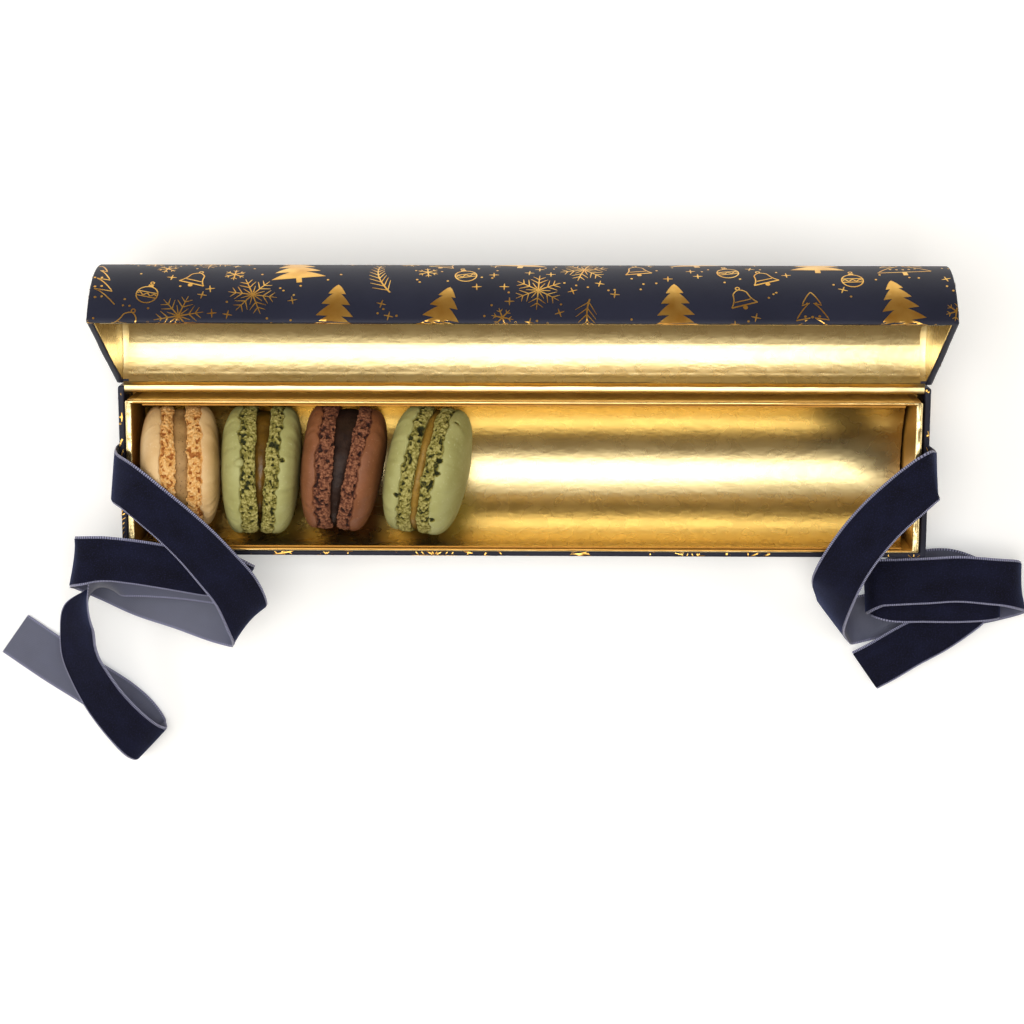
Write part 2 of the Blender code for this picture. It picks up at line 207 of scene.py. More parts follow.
def rounded_loop(half_x, half_y, corner, step):
    """Points round a rectangle with quarter-round corners, from its front left corner along the front. Their
    number follows from the tray's own size and the step, so that loops of any size can be joined."""
    along_x = np.linspace(-1.0, 1.0, int(2 * HALF_LENGTH / step)) * (half_x - corner)
    along_y = np.linspace(-1.0, 1.0, int(2 * HALF_DEPTH / step)) * (half_y - corner)
    turn = np.linspace(0.0, math.pi / 2, 7)[1:-1]
    sides = []
    for quarter in range(4):
        along, reach, far = (along_y, half_x, half_y) if quarter % 2 else (along_x, half_y, half_x)
        run = np.concatenate([along, far - corner + corner * np.sin(turn)])
        out = np.concatenate([np.full(len(along), reach), reach - corner + corner * np.cos(turn)])
        ahead_x, ahead_y = ((1, 0), (0, 1), (-1, 0), (0, -1))[quarter]
        sides.append(np.column_stack([run * ahead_x + out * ahead_y, run * ahead_y - out * ahead_x]))
    return np.vstack(sides)


def wall_section(foot, top, floor, edge, board, rows=5):
    """Outline of a board wall from its outer foot over the rim to its inner foot: pairs of a share of the
    board's thickness inwards and a height. Both edges of the rim are quarter rounds of the radius edge."""
    turn = np.linspace(0.0, math.pi / 2, rows)
    share, height = edge / board * (1.0 - np.cos(turn)), top - edge * (1.0 - np.sin(turn))
    outer = np.column_stack([np.zeros(rows), np.linspace(foot, top - edge, rows, endpoint=False)])
    inner = np.column_stack([np.ones(rows), np.linspace(top - edge, floor, rows + 1)[1:]])
    across = [(0.4, top), (0.6, top)]
    return np.vstack([outer, np.column_stack([share, height]), across,
                      np.column_stack([1.0 - share[::-1], height[::-1]]), inner])


def raise_walls(section, half_x, half_y, end_board, side_board, corner, step):
    """Rings of a box's walls: a rounded loop for each point of the section, moved in by its share of the
    boards' thicknesses, with a corner that gets tighter inwards."""
    loops = [rounded_loop(half_x - share * end_board, half_y - share * side_board,
                          corner * (1.0 - 0.6 * share), step) for share in section[:, 0]]
    return np.array([np.insert(loop, 2, height, axis=1) for loop, height in zip(loops, section[:, 1])])


NIGHT_PAPER = night_paper()
foot_turn = np.linspace(0.0, math.pi / 2, 4)
foot_section = np.column_stack([TRAY_EDGE / SIDE_BOARD * (1.0 - np.sin(foot_turn)),
                                TRAY_EDGE * (1.0 - np.cos(foot_turn))])
tray_section = wall_section(TRAY_EDGE, BASE_HEIGHT, FLOOR_BOARD, TRAY_EDGE, SIDE_BOARD)
rings = raise_walls(np.vstack([foot_section[:-1], tray_section]), HALF_LENGTH, HALF_DEPTH,
                    END_BOARD, SIDE_BOARD, TRAY_CORNER, TRAY_STEP)
middle = np.zeros_like(rings[:1])
rings = np.concatenate([middle, rings, middle + (0.0, 0.0, FLOOR_BOARD)])
base_tray = build("base_tray", rings, None, [NIGHT_PAPER], sharp=50.0)
dress(base_tray, "base", "printed_paper", "base_shell")

# Foil on the base. The paper's winter print is pressed on in gold foil before the paper is cut: fir trees,
# twigs, snow crystals, bells, baubles and small stars, scattered by a seeded rule so that they repeat.
FOIL_LIFT = 0.00004
FOIL_STEP = 0.0009
FOIL_LINE = 0.00021


def gold_foil():
    """Pressed metal foil, with a slow change of tone and a fine grain."""
    made, shader, place = material("gold_foil", Metallic=1.0, Roughness=0.33)
    colour = ramp(grain(place, 0.006), (0.3, tone(218, 162, 76)), (0.7, tone(242, 198, 110)))
    feed(shader, Base_Color=colour)
    relief(shader, grain(place, 0.0005), 0.00002)
    return made


def line(x, y, width=FOIL_LINE):
    """A pen line: its points, and half its width at each of them."""
    points = np.stack(np.broadcast_arrays(x, y), axis=-1)
    return points, np.broadcast_to(width, len(points)).astype(float)


def ray(angle, start, end, width=FOIL_LINE, origin=(0.0, 0.0)):
    """A straight line of steps about FOIL_STEP long, pointed at its far end."""
    share = np.linspace(0.0, 1.0, max(3, int(abs(end - start) / FOIL_STEP) + 2))
    reach = start + share * (end - start)
    taper = width * np.sqrt(np.clip(1.15 - share, 0.0, 1.0))
    return line(np.cos(angle) * reach + origin[0], np.sin(angle) * reach + origin[1], taper)


def barbs(angle, lean, reach, origin, width=FOIL_LINE):
    """A pair of rays from one point, which lean away from an angle to both sides."""
    return [ray(angle + turn * math.radians(lean), 0.0, reach, width, origin) for turn in (-1, 1)]


def ring(radius, rise=0.0):
    """A circle drawn as a line, its middle raised from the origin."""
    turn = np.linspace(0.0, 2 * math.pi, max(13, int(2 * math.pi * radius / FOIL_STEP) + 2))
    return line(np.cos(turn) * radius, np.sin(turn) * radius + rise)


def dot(radius, x=0.0, y=0.0):
    """A filled circle: a short line whose half width follows the circle."""
    turn = np.linspace(0.0, math.pi, max(7, int(2 * radius / FOIL_STEP) + 2))
    return line(x - np.cos(turn) * radius, y, radius * np.sin(turn))


def fir_half_width(size, tiers):
    """Height and half width up a fir tree of stepped tiers, whose boughs curve in to each tier's top."""
    rise, wide = [], []
    for tier in range(tiers):
        share = np.linspace(0.0, 1.0, 7)
        low, high = tier / tiers, (tier + 1.15) / tiers
        reach = 0.62 * (1.0 - 0.80 * tier / tiers)
        rise.append(-0.8 + 1.7 * (low + share * (min(high, 1.0) - low)))
        wide.append(reach * (1.0 - share) ** 0.75 + (0.12 * reach if tier < tiers - 1 else 0.0))
    return np.concatenate(rise) * size, np.concatenate(wide) * size


def trunk(size, half_width):
    """A fir tree's trunk, below its lowest boughs."""
    return line(0.0, np.array([-1.0, -0.9, -0.8]) * size, half_width * size)


def solid_fir(size, rng):
    """A fir tree filled with foil."""
    rise, wide = fir_half_width(size, 5)
    return [line(0.0, rise, wide), trunk(size, 0.07)]


def drawn_fir(size, rng):
    """A fir tree drawn in outline, with a line of dots for garlands."""
    rise, wide = fir_half_width(size, 4)
    x, y = np.concatenate([wide, -wide[::-1], wide[:1]]), np.concatenate([rise, rise[::-1], rise[:1]])
    beads = [dot(0.035 * size, x * size, (-0.62 + 0.38 * tier + 0.5 * x * x) * size)
             for tier in range(4) for x in np.linspace(0.07 * tier - 0.32, 0.32 - 0.07 * tier, 5 - tier)]
    return [line(x, y), trunk(size, 0.06)] + beads


def crystal(size, rng):
    """A snow crystal: six arms, each with barbs in pairs, and short arms between on a large one."""
    lines, large = [dot(0.10 * size)], size > 0.004
    for arm in range(6):
        angle = arm * math.pi / 3
        lines.append(ray(angle, 0.0, size, 1.2 * FOIL_LINE))
        for share in (0.42, 0.68) if large else (0.6,):
            origin = (math.cos(angle) * share * size, math.sin(angle) * share * size)
            lines += barbs(angle, 52, 0.62 * (1.0 - 0.72 * share) * size, origin)
        if large:
            lines.append(ray(angle + math.pi / 6, 0.12 * size, 0.50 * size))
    return lines


def twig(size, rng):
    """A fir twig: a bowed stem with needles on both sides that shorten to its tip."""
    share = np.linspace(0.0, 1.0, 18)
    bow = rng.choice((-0.25, 0.25)) * size
    x, y = bow * 4 * share * (1 - share), (2 * share - 1) * size
    heading = np.arctan2(np.gradient(y), np.gradient(x))
    lines = [line(x, y, FOIL_LINE * (1.4 - 0.7 * share))]
    for i in range(1, 17, 2):
        lines += barbs(heading[i], 42, size * (0.58 - 0.36 * share[i]), (x[i], y[i]), 0.9 * FOIL_LINE)
    return lines


def bauble(size, rng):
    """A glass ball on its hook: a circle with two bands, a wavy line between them and a cap."""
    ball, middle = 0.66 * size, -0.3 * size
    cap = line(np.array([-0.16, 0.0, 0.16]) * size, 0.46 * size, 0.09 * size)
    bands = [line(np.linspace(-0.96, 0.96, 10) * ball, middle + height * ball) for height in (-0.28, 0.28)]
    wave = np.linspace(-0.9, 0.9, 25)
    waves = line(wave * ball, middle + 0.13 * ball * np.cos(9 * wave))
    return [ring(ball, middle), ring(0.11 * size, 0.72 * size), cap, *bands, waves]


def bell(size, rng):
    """A hand bell in outline: a flared curve each side, the mouth, a band and the clapper."""
    share = np.linspace(0.0, 1.0, 16)
    wide = size * (0.30 + 0.52 * share ** 2.6 + 0.12 * np.sin(math.pi * np.sqrt(share)))
    wide *= np.sqrt(np.clip(share * 4.0, 0.0, 1.0))
    rise = size * (0.75 - 1.25 * share)
    outline = line(np.concatenate([-wide[::-1], wide]), np.concatenate([rise[::-1], rise]))
    across = np.linspace(-wide[-1], wide[-1], 12)
    mouth, band = line(across, rise[-1], 1.3 * FOIL_LINE), line(0.62 * across, rise[11])
    clapper, hanger = dot(0.15 * size, 0.0, rise[-1] - 0.17 * size), ring(0.12 * size, 0.87 * size)
    return [outline, mouth, band, clapper, hanger]


def spark(size, rng):
    """A four-pointed star with long thin points."""
    return [ray(arm * math.pi / 2, 0.0, size, 0.16 * size) for arm in range(4)]


def speck(size, rng):
    """A single round dot."""
    return [dot(size)]


# Each motif of the print: its drawing, which is handed the random numbers that it may draw from, its size,
# how many are tried for each 0.01 square metres, and how far it may lean in degrees
MOTIFS = (
    (solid_fir, 0.0130, 14, 14), (drawn_fir, 0.0130, 18, 14), (crystal, 0.0082, 40, 30),
    (twig, 0.0096, 110, 180), (bell, 0.0054, 60, 25), (bauble, 0.0054, 90, 15),
    (crystal, 0.0036, 130, 30), (spark, 0.0016, 140, 20), (speck, 0.0004, 260, 0),
)


def scatter_motifs(length, height, seed):
    """Lines of foil over a panel: each motif is tried at random places, the largest first, and stays where
    its circle meets no other. A motif may run over the panel's edge, where the paper was cut."""
    rng = np.random.default_rng(seed)
    taken, lines = np.empty((0, 3)), []
    for draw, size, density, lean in MOTIFS:
        for _ in range(int(density * length * height / 0.01) + 1):
            centre = rng.uniform((0.0, 0.0), (length, height))
            clear = np.hypot(*(taken[:, :2] - centre).T) > taken[:, 2] + 1.08 * size
            if not clear.all():
                continue
            taken = np.vstack([taken, (*centre, size)])
            angle = math.radians(rng.uniform(-lean, lean))
            turn = np.array([[math.cos(angle), math.sin(angle)], [-math.sin(angle), math.cos(angle)]])
            lines += [(points @ turn + centre, width) for points, width in draw(size, rng)]
    return lines


def lay_foil(lines, surface, inside):
    """Grid points and faces of all the lines, laid on a surface that maps (u, v) to a point. Each line is a
    band of cells across its width; cells whose middle isn't inside the panel are left out."""
    points, faces, count = [], [], 0
    for centre, width in lines:
        run = np.gradient(centre, axis=0)
        run /= np.linalg.norm(run, axis=1)[:, None] + 1e-12
        side = np.column_stack([-run[:, 1], run[:, 0]])
        columns = 2 + 2 * int(width.max() / 0.0012)
        across = np.linspace(-1.0, 1.0, columns)[None, :, None]
        flat = centre[:, None] + across * (width[:, None] * side)[:, None]
        corners = cells(len(centre), columns)
        middle = flat.reshape(-1, 2)[corners].mean(axis=1)
        corners = corners[inside(middle[:, 0], middle[:, 1])]
        points.append(surface(flat[..., 0], flat[..., 1]).reshape(-1, 3))
        faces.append(corners + count)
        count += len(points[-1])
    points, faces = np.vstack(points), np.vstack(faces)
    used, where = np.unique(faces, return_inverse=True)
    return points[used], where.reshape(faces.shape)


def run_along(points):
    """Distance along a line of points from its first point to each."""
    return np.concatenate([[0.0], np.cumsum(np.linalg.norm(np.diff(points, axis=0), axis=1))])


def place_along(run, knots, points):
    """Points at given distances along a line, straight between its own points, which lie at the knots."""
    return np.stack([np.interp(run, knots, column) for column in points.T], axis=-1)


outline = rounded_loop(HALF_LENGTH, HALF_DEPTH, TRAY_CORNER, 0.002)
outline = np.vstack([outline, outline[:1]])
outline_run = run_along(outline)
wall_line = tray_section * (SIDE_BOARD, 1.0)
wall_run = run_along(wall_line)
RIM_RUN = BASE_HEIGHT - TRAY_EDGE + SIDE_BOARD
FOIL_FROM, FOIL_TO = 0.0003, RIM_RUN + 0.001


def round_the_base(u, v):
    """Point on the tray's paper at u round its outline and v up its wall and over the rim, lifted a little
    along the wall's normal; the way in is square to the outline."""
    u = np.mod(u, outline_run[-1])
    place = place_along(u, outline_run, outline)
    ahead = place_along(np.mod(u + 0.0004, outline_run[-1]), outline_run, outline) - place
    ahead /= np.linalg.norm(ahead, axis=-1, keepdims=True) + 1e-12
    outward = np.stack([ahead[..., 1], -ahead[..., 0]], axis=-1)
    run = np.clip(v, 0.0, wall_run[-1])
    wall = place_along(run, wall_run, wall_line)
    slope = place_along(run + 0.0002, wall_run, wall_line) - wall
    slope *= FOIL_LIFT / (np.linalg.norm(slope, axis=-1, keepdims=True) + 1e-12)
    place = place - outward * (wall[..., :1] - slope[..., 1:])
    return np.concatenate([place, wall[..., 1:] + slope[..., :1]], axis=-1)


GOLD_FOIL = gold_foil()
lines = scatter_motifs(outline_run[-1], RIM_RUN, seed=11)
points, faces = lay_foil(lines, round_the_base, lambda u, v: (v > FOIL_FROM) & (v < FOIL_TO))
foil_base = build("foil_base", points, faces, [GOLD_FOIL], weld=False)
dress(foil_base, "base", "printed_paper")

# Collar. A second tray without a bottom, in thinner board papered gold, is glued inside the base and stands
# up above its rim, so that the lid shuts round it. The gold paper is turned over its top edge by hand. Low
# down it is wider and fills the base.
COLLAR_HALF_LENGTH = 0.1384
COLLAR_HALF_DEPTH = 0.0265
COLLAR_TOP = float(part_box("neck")[1][2])
COLLAR_END_BOARD = 0.0022
COLLAR_SIDE_BOARD = 0.0010
COLLAR_BOTTOM = FLOOR_BOARD + 0.0003
COLLAR_EDGE = 0.00035
COLLAR_CORNER = 0.0006
COLLAR_STEP = 0.0012
COLLAR_END_WALL = 0.1355
# How far along, and how far into the board, the long rims take the darker rim paper, which is painted shade
DARK_RIM_END, DARK_RIM_SHARE = 0.136, 0.65
FOOT_HALF_LENGTH, FOOT_HALF_DEPTH, FOOT_CORNER, FOOT_TOP = 0.1400, 0.0276, 0.0010, 0.0135
WRINKLED_HEIGHT, WRINKLED_END = 0.004, 0.002
RIM_DEPTH = 0.0012
FOLD_BULGE, FOLD_BELOW_RIM, FOLD_SPREAD, FOLD_END = 0.0003, 0.0028, 0.0013, 0.137


def draw_numbers(cell, salt):
    """A random number from 0 to 1 for each whole-numbered cell, the same each time for the same salt."""
    whole = cell.astype(np.int64)
    mixed_up = (whole * np.array([73856093, 19349663, 83492791])).sum(axis=-1) + salt * 2654435761
    mixed_up = (mixed_up ^ (mixed_up >> 15)) * 2246822519 & 0xFFFFFFFF
    mixed_up = (mixed_up ^ (mixed_up >> 13)) * 3266489917 & 0xFFFFFFFF
    return (mixed_up ^ (mixed_up >> 16) & 0xFFFF) / float(0xFFFFFFFF)


def swell(points, size, salt):
    """Smooth noise from -1 to 1: random values at the corners of cells of the given size, eased between."""
    place = points / size
    low = np.floor(place)
    ease = place - low
    ease = ease ** 3 * (ease * (6.0 * ease - 15.0) + 10.0)
    total = np.zeros(points.shape[:-1])
    for corner in np.ndindex(2, 2, 2):
        share = np.prod(np.where(np.array(corner) == 1, ease, 1.0 - ease), axis=-1)
        total += share * draw_numbers(low + corner, salt)
    return 2.0 * total - 1.0


def gold_paper(name, wrinkle, depth, rough=0.27, stretch=(1.6, 1.0, 1.0), metal=1.0,
               shades=((0.70, 0.565, 0.285, 1.0), (0.74, 0.600, 0.310, 1.0))):
    """Gold foil paper pressed on board: wrinkles of the given size and depth, finer ones over them, a fibre
    grain, and a gloss that changes a little from place to place."""
    made, shader, place = material(name, Metallic=metal)
    colour = ramp(grain(place, 0.02, detail=2.0), (0.3, shades[0]), (0.7, shades[1]))
    gloss = level(grain(place, 0.006, detail=1.0), 0.3, 0.7, rough - 0.015, rough + 0.025)
    feed(shader, Base_Color=colour, Roughness=gloss)
    relief(shader, grain(place, wrinkle, stretch, 1.0), depth)
    relief(shader, grain(place, 0.40 * wrinkle, stretch, 1.0), 0.20 * depth)
    relief(shader, grain(place, 0.00045, (1.5, 1.0, 1.0), 1.0), 0.000004)
    return made


CRINKLED_GOLD = gold_paper("crinkled_gold_paper", 0.0024, 0.00012, 0.24)
# A deeper orange, partly diffuse copy of the gold paper for the collar's walls: painted reflection of the
# gold round them
WALL_GOLD_PAINTED_REFLECTION = gold_paper("collar_wall_painted_reflection", 0.0040, 0.00002, 0.30, metal=0.6,
                       shades=((0.88, 0.55, 0.125, 1.0), (0.92, 0.59, 0.145, 1.0)))
# A darker, duller copy of the gold paper for the long rims: painted shade, standing for the dimmer light that
# they reflect
RIM_GOLD_PAINTED_SHADE = gold_paper("collar_rim_painted_shade", 0.0030, 0.00004, 0.36, metal=0.7,
                      shades=((0.45, 0.235, 0.045, 1.0), (0.50, 0.270, 0.060, 1.0)))
# A darker copy of the gold paper for the end walls: painted shade
END_GOLD_PAINTED_SHADE = gold_paper("collar_end_painted_shade", 0.0040, 0.00003, 0.32, metal=0.6,
                      shades=((0.54, 0.285, 0.055, 1.0), (0.60, 0.325, 0.070, 1.0)))
collar_section = wall_section(FOOT_TOP, COLLAR_TOP, COLLAR_BOTTOM, COLLAR_EDGE, COLLAR_SIDE_BOARD, 24)
foot_walls = np.array([(0.0, COLLAR_BOTTOM), (0.0, FOOT_TOP)])
rings = np.concatenate([
    raise_walls(foot_walls, FOOT_HALF_LENGTH, FOOT_HALF_DEPTH, 0.0, 0.0, FOOT_CORNER, COLLAR_STEP),
    raise_walls(collar_section, COLLAR_HALF_LENGTH, COLLAR_HALF_DEPTH, COLLAR_END_BOARD, COLLAR_SIDE_BOARD,
                COLLAR_CORNER, COLLAR_STEP)])
# Wrinkles of the turned paper, strongest along the rim's ends, and the fold a little below the rim
top_share = np.clip((rings[..., 2] - COLLAR_TOP + WRINKLED_HEIGHT) / WRINKLED_HEIGHT, 0.0, 1.0)
end_share = np.clip((np.abs(rings[..., 0]) - COLLAR_END_WALL) / WRINKLED_END, 0.0, 1.0)
crinkle = swell(rings, 0.0030, 3) + 0.5 * swell(rings, 0.0012, 4)
rings[..., 2] += top_share ** 3 * (0.00005 + 0.00016 * end_share) * crinkle
rings[..., 1] += top_share * 0.00009 * swell(rings * (0.3, 1.0, 1.0), 0.0060, 5)
rings[..., 0] += top_share * 0.00016 * swell(rings * (1.0, 0.4, 1.0), 0.0030, 6)
on_long_side = (np.abs(rings[..., 1]) > COLLAR_HALF_DEPTH - 0.0002) & (np.abs(rings[..., 0]) < FOLD_END)
fold = FOLD_BULGE * np.exp(-((rings[..., 2] - COLLAR_TOP + FOLD_BELOW_RIM) / FOLD_SPREAD) ** 2)
rings[..., 1] += on_long_side * fold * np.sign(rings[..., 1])
corners = cells(*rings.shape[:2], ring_rows=True, ring_columns=True)
# Each face's finish: the rim; the walls, whose deeper orange is painted reflection; a darker strip along the
# long rims, which is painted shade; and the end walls, darker as painted shade
corner_points = rings.reshape(-1, 3)[corners]
on_wall = (corner_points[..., 2] < COLLAR_TOP - RIM_DEPTH).any(axis=1)
middle_x, middle_y, _ = np.abs(corner_points.mean(axis=1)).T
dark_rim_depth = COLLAR_HALF_DEPTH - (1.0 - DARK_RIM_SHARE) * COLLAR_SIDE_BOARD
painted_dark_rim = ~on_wall & (middle_x < DARK_RIM_END) & (middle_y < dark_rim_depth)
painted_end_shade = on_wall & (middle_x > COLLAR_END_WALL)
collar = build("collar", rings, corners, [CRINKLED_GOLD, WALL_GOLD_PAINTED_REFLECTION, RIM_GOLD_PAINTED_SHADE, END_GOLD_PAINTED_SHADE],
               finish_of=on_wall + 2 * painted_dark_rim + 2 * painted_end_shade)
dress(collar, "base", "gold_paper", "neck")

# Channel. A sheet of gold card is bent to a U and hung between the collar's long walls; the macarons stand
# on edge in it. Its ends are cut by hand and stop just short of the collar's end walls.
CHANNEL_RADIUS = 0.0248
CHANNEL_CARD = 0.0005
CHANNEL_AXIS = 0.0338
CHANNEL_HALF_LENGTH, _, CHANNEL_TOP = (float(side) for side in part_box("channel")[1])
HAND_CUT_FROM = 0.130
CUT_AT_BOTTOM, CUT_AT_TOP = 0.0005, 0.0029
FINE_GOLD = gold_paper("channel_gold_paper", 0.0019, 0.000055, 0.27, (2.2, 1.0, 1.0))


def card_section(line_points, thickness):
    """Closed outline of a card that follows an open line of (y, z) points: the line, then the line moved
    outwards by the card's thickness and walked back."""
    run = np.gradient(line_points, axis=0)
    run /= np.linalg.norm(run, axis=1)[:, None]
    outward = np.column_stack([-run[:, 1], run[:, 0]])
    return np.vstack([line_points, (line_points + outward * thickness)[::-1]])


def along_the_box(section, half_length, count):
    """Rings of a card's section repeated along X. At both ends one more ring, halfway between the card's
    two faces, closes its cut edge."""
    x = np.linspace(-half_length, half_length, count)
    rings = np.concatenate([np.broadcast_to(x[:, None, None], (count, len(section), 1)),
                            np.broadcast_to(section, (count, len(section), 2))], axis=2)
    ends = 0.5 * (rings[[0, -1]] + rings[[0, -1], ::-1])
    return np.concatenate([ends[:1], rings, ends[1:]])


def buckle(rings, stretch, salt):
    """How far a card stands off its true curve: slow waves drawn out along the box, and finer ones."""
    slow = 0.00008 * swell(rings * (stretch, 1.0, 1.0), 0.012, salt)
    return slow + 0.000015 * swell(rings * (0.6, 1.0, 1.0), 0.0035, salt + 1)


def cut_card():
    """Cut edge of gold card: brown board fibre with a little of the foil dragged over it."""
    made, shader, place = material("cut_card", Metallic=0.4, Roughness=0.5)
    fibre = grain(place, 0.0012, (0.3, 1.0, 1.0))
    colour = ramp(fibre, (0.3, (0.34, 0.13, 0.006, 1.0)), (0.7, (0.50, 0.24, 0.020, 1.0)))
    feed(shader, Base_Color=colour)
    return made


turn = np.linspace(0.0, math.pi, 61)
bowl = np.column_stack([CHANNEL_RADIUS * np.cos(turn), CHANNEL_AXIS - CHANNEL_RADIUS * np.sin(turn)])
straight = np.linspace(CHANNEL_TOP, CHANNEL_AXIS, 5)[:-1]
sides = [np.column_stack([np.full(4, side * CHANNEL_RADIUS), straight]) for side in (1, -1)]
channel_line = np.vstack([sides[0], bowl, sides[1][::-1]])
rings = along_the_box(card_section(channel_line, CHANNEL_CARD), CHANNEL_HALF_LENGTH, 190)
depth_share = np.clip((CHANNEL_AXIS - rings[..., 2]) / CHANNEL_RADIUS, 0.0, 1.0)
rings[..., 2] += depth_share * (buckle(rings, 0.4, 8) + 0.00012)
end_cut = CUT_AT_BOTTOM + CUT_AT_TOP * (1.0 - depth_share) ** 2
end_cut += 0.00012 * swell(rings, 0.004, 10) + 0.00012 * swell(rings, 0.0015, 11)
near_end = np.clip((np.abs(rings[..., 0]) - HAND_CUT_FROM) / (CHANNEL_HALF_LENGTH - HAND_CUT_FROM), 0.0, 1.0)
rings[..., 0] -= near_end * np.sign(rings[..., 0]) * end_cut
corners = cells(*rings.shape[:2], ring_columns=True)
on_cut_edge = (rings.reshape(-1, 3)[corners, 2] > CHANNEL_TOP - 0.00005).all(axis=1)
channel = build("channel_card", rings, corners, [FINE_GOLD, cut_card()], finish_of=on_cut_edge, sharp=50.0)
dress(channel, "base", "gold_paper", "channel")

# Hinge. One strip of gold paper is glued down inside the base's back wall, goes over its rim and up the lid's
# back rim to the lining. It is the only thing that joins the lid, and it creases along one line.
HINGE_Y, HINGE_Z = 0.0306, 0.03015
LID_OPEN = math.radians(118.0)
# The strip's section as pairs of y and z, from inside the base to the lid
HINGE_STRIP = np.array((
    (0.02805, 0.0165), (0.02805, 0.0230), (0.02805, 0.0296), (0.02820, 0.03015), (0.02865, 0.03050),
    (0.02930, 0.03060), (0.03000, 0.03060), (0.03045, 0.03045), (0.03065, 0.03040), (0.03078, 0.03062),
    (0.03110, 0.03100), (0.03150, 0.03140), (0.03195, 0.03185),
))
HINGE_CARD = 0.00022
HINGE_HALF_LENGTH = 0.1400
WRINKLED_FROM, WRINKLED_SPAN = 0.0285, 0.0015
HINGE_GOLD = gold_paper("hinge_gold_paper", 0.0030, 0.00005, 0.30, (4.0, 1.0, 1.0))

knots = run_along(HINGE_STRIP)
strip_line = place_along(np.linspace(0.0, knots[-1], 70), knots, HINGE_STRIP)
strip_line[1:-1] = (strip_line[:-2] + 2.0 * strip_line[1:-1] + strip_line[2:]) / 4.0
rings = along_the_box(card_section(strip_line[::-1], HINGE_CARD), HINGE_HALF_LENGTH, 230)
rim_share = np.clip((rings[..., 2] - WRINKLED_FROM) / WRINKLED_SPAN, 0.0, 1.0)
rings[..., 2] += rim_share * 0.00007 * swell(rings * (0.5, 1.0, 1.0), 0.0040, 12)
rings[..., 1] += rim_share * 0.00008 * swell(rings * (0.5, 1.0, 1.0), 0.0028, 13)
hinge = build("hinge_strip", rings, None, [HINGE_GOLD], sharp=60.0)
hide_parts("hinge_paper")
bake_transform(hinge)

# Macarons. Each is two almond biscuits sandwiched with a soft filling. Whipped egg white lifts a smooth skin
# in the oven and leaves the ruffled, crumbly foot round it. They stand on edge in the channel.
DOME_POWER = 2.5
AROUND = 600
FOOT_ROWS = 28
DOME_ROWS = 22
SUNK = 0.0002


def crumbs(points, size, salt):
    """Distances, in cell sizes, from points to the nearest and second nearest of one random spot a cell."""
    place = points / size
    low = np.floor(place)
    near = np.full(points.shape[:-1], 9.0)
    second = near.copy()
    for step in np.ndindex(3, 3, 3):
        cell = low + step - 1.0
        spot = cell + np.stack([draw_numbers(cell, salt + axis) for axis in range(3)], axis=-1)
        gap = np.linalg.norm(place - spot, axis=-1)
        second = np.minimum(second, np.maximum(near, gap))
        near = np.minimum(near, gap)
    return near, second


def grid_normals(points):
    """Unit normals of a grid of points whose columns go round, from its neighbours' differences."""
    down = np.gradient(points, axis=0)
    round_it = np.roll(points, -1, axis=1) - np.roll(points, 1, axis=1)
    normal = np.cross(round_it, down)
    return normal / (np.linalg.norm(normal, axis=-1, keepdims=True) + 1e-15)


def smooth_step(value, low, high):
    """Eased share from 0 at low to 1 at high."""
    share = np.clip((value - low) / (high - low), 0.0, 1.0)
    return share * share * (3.0 - 2.0 * share)


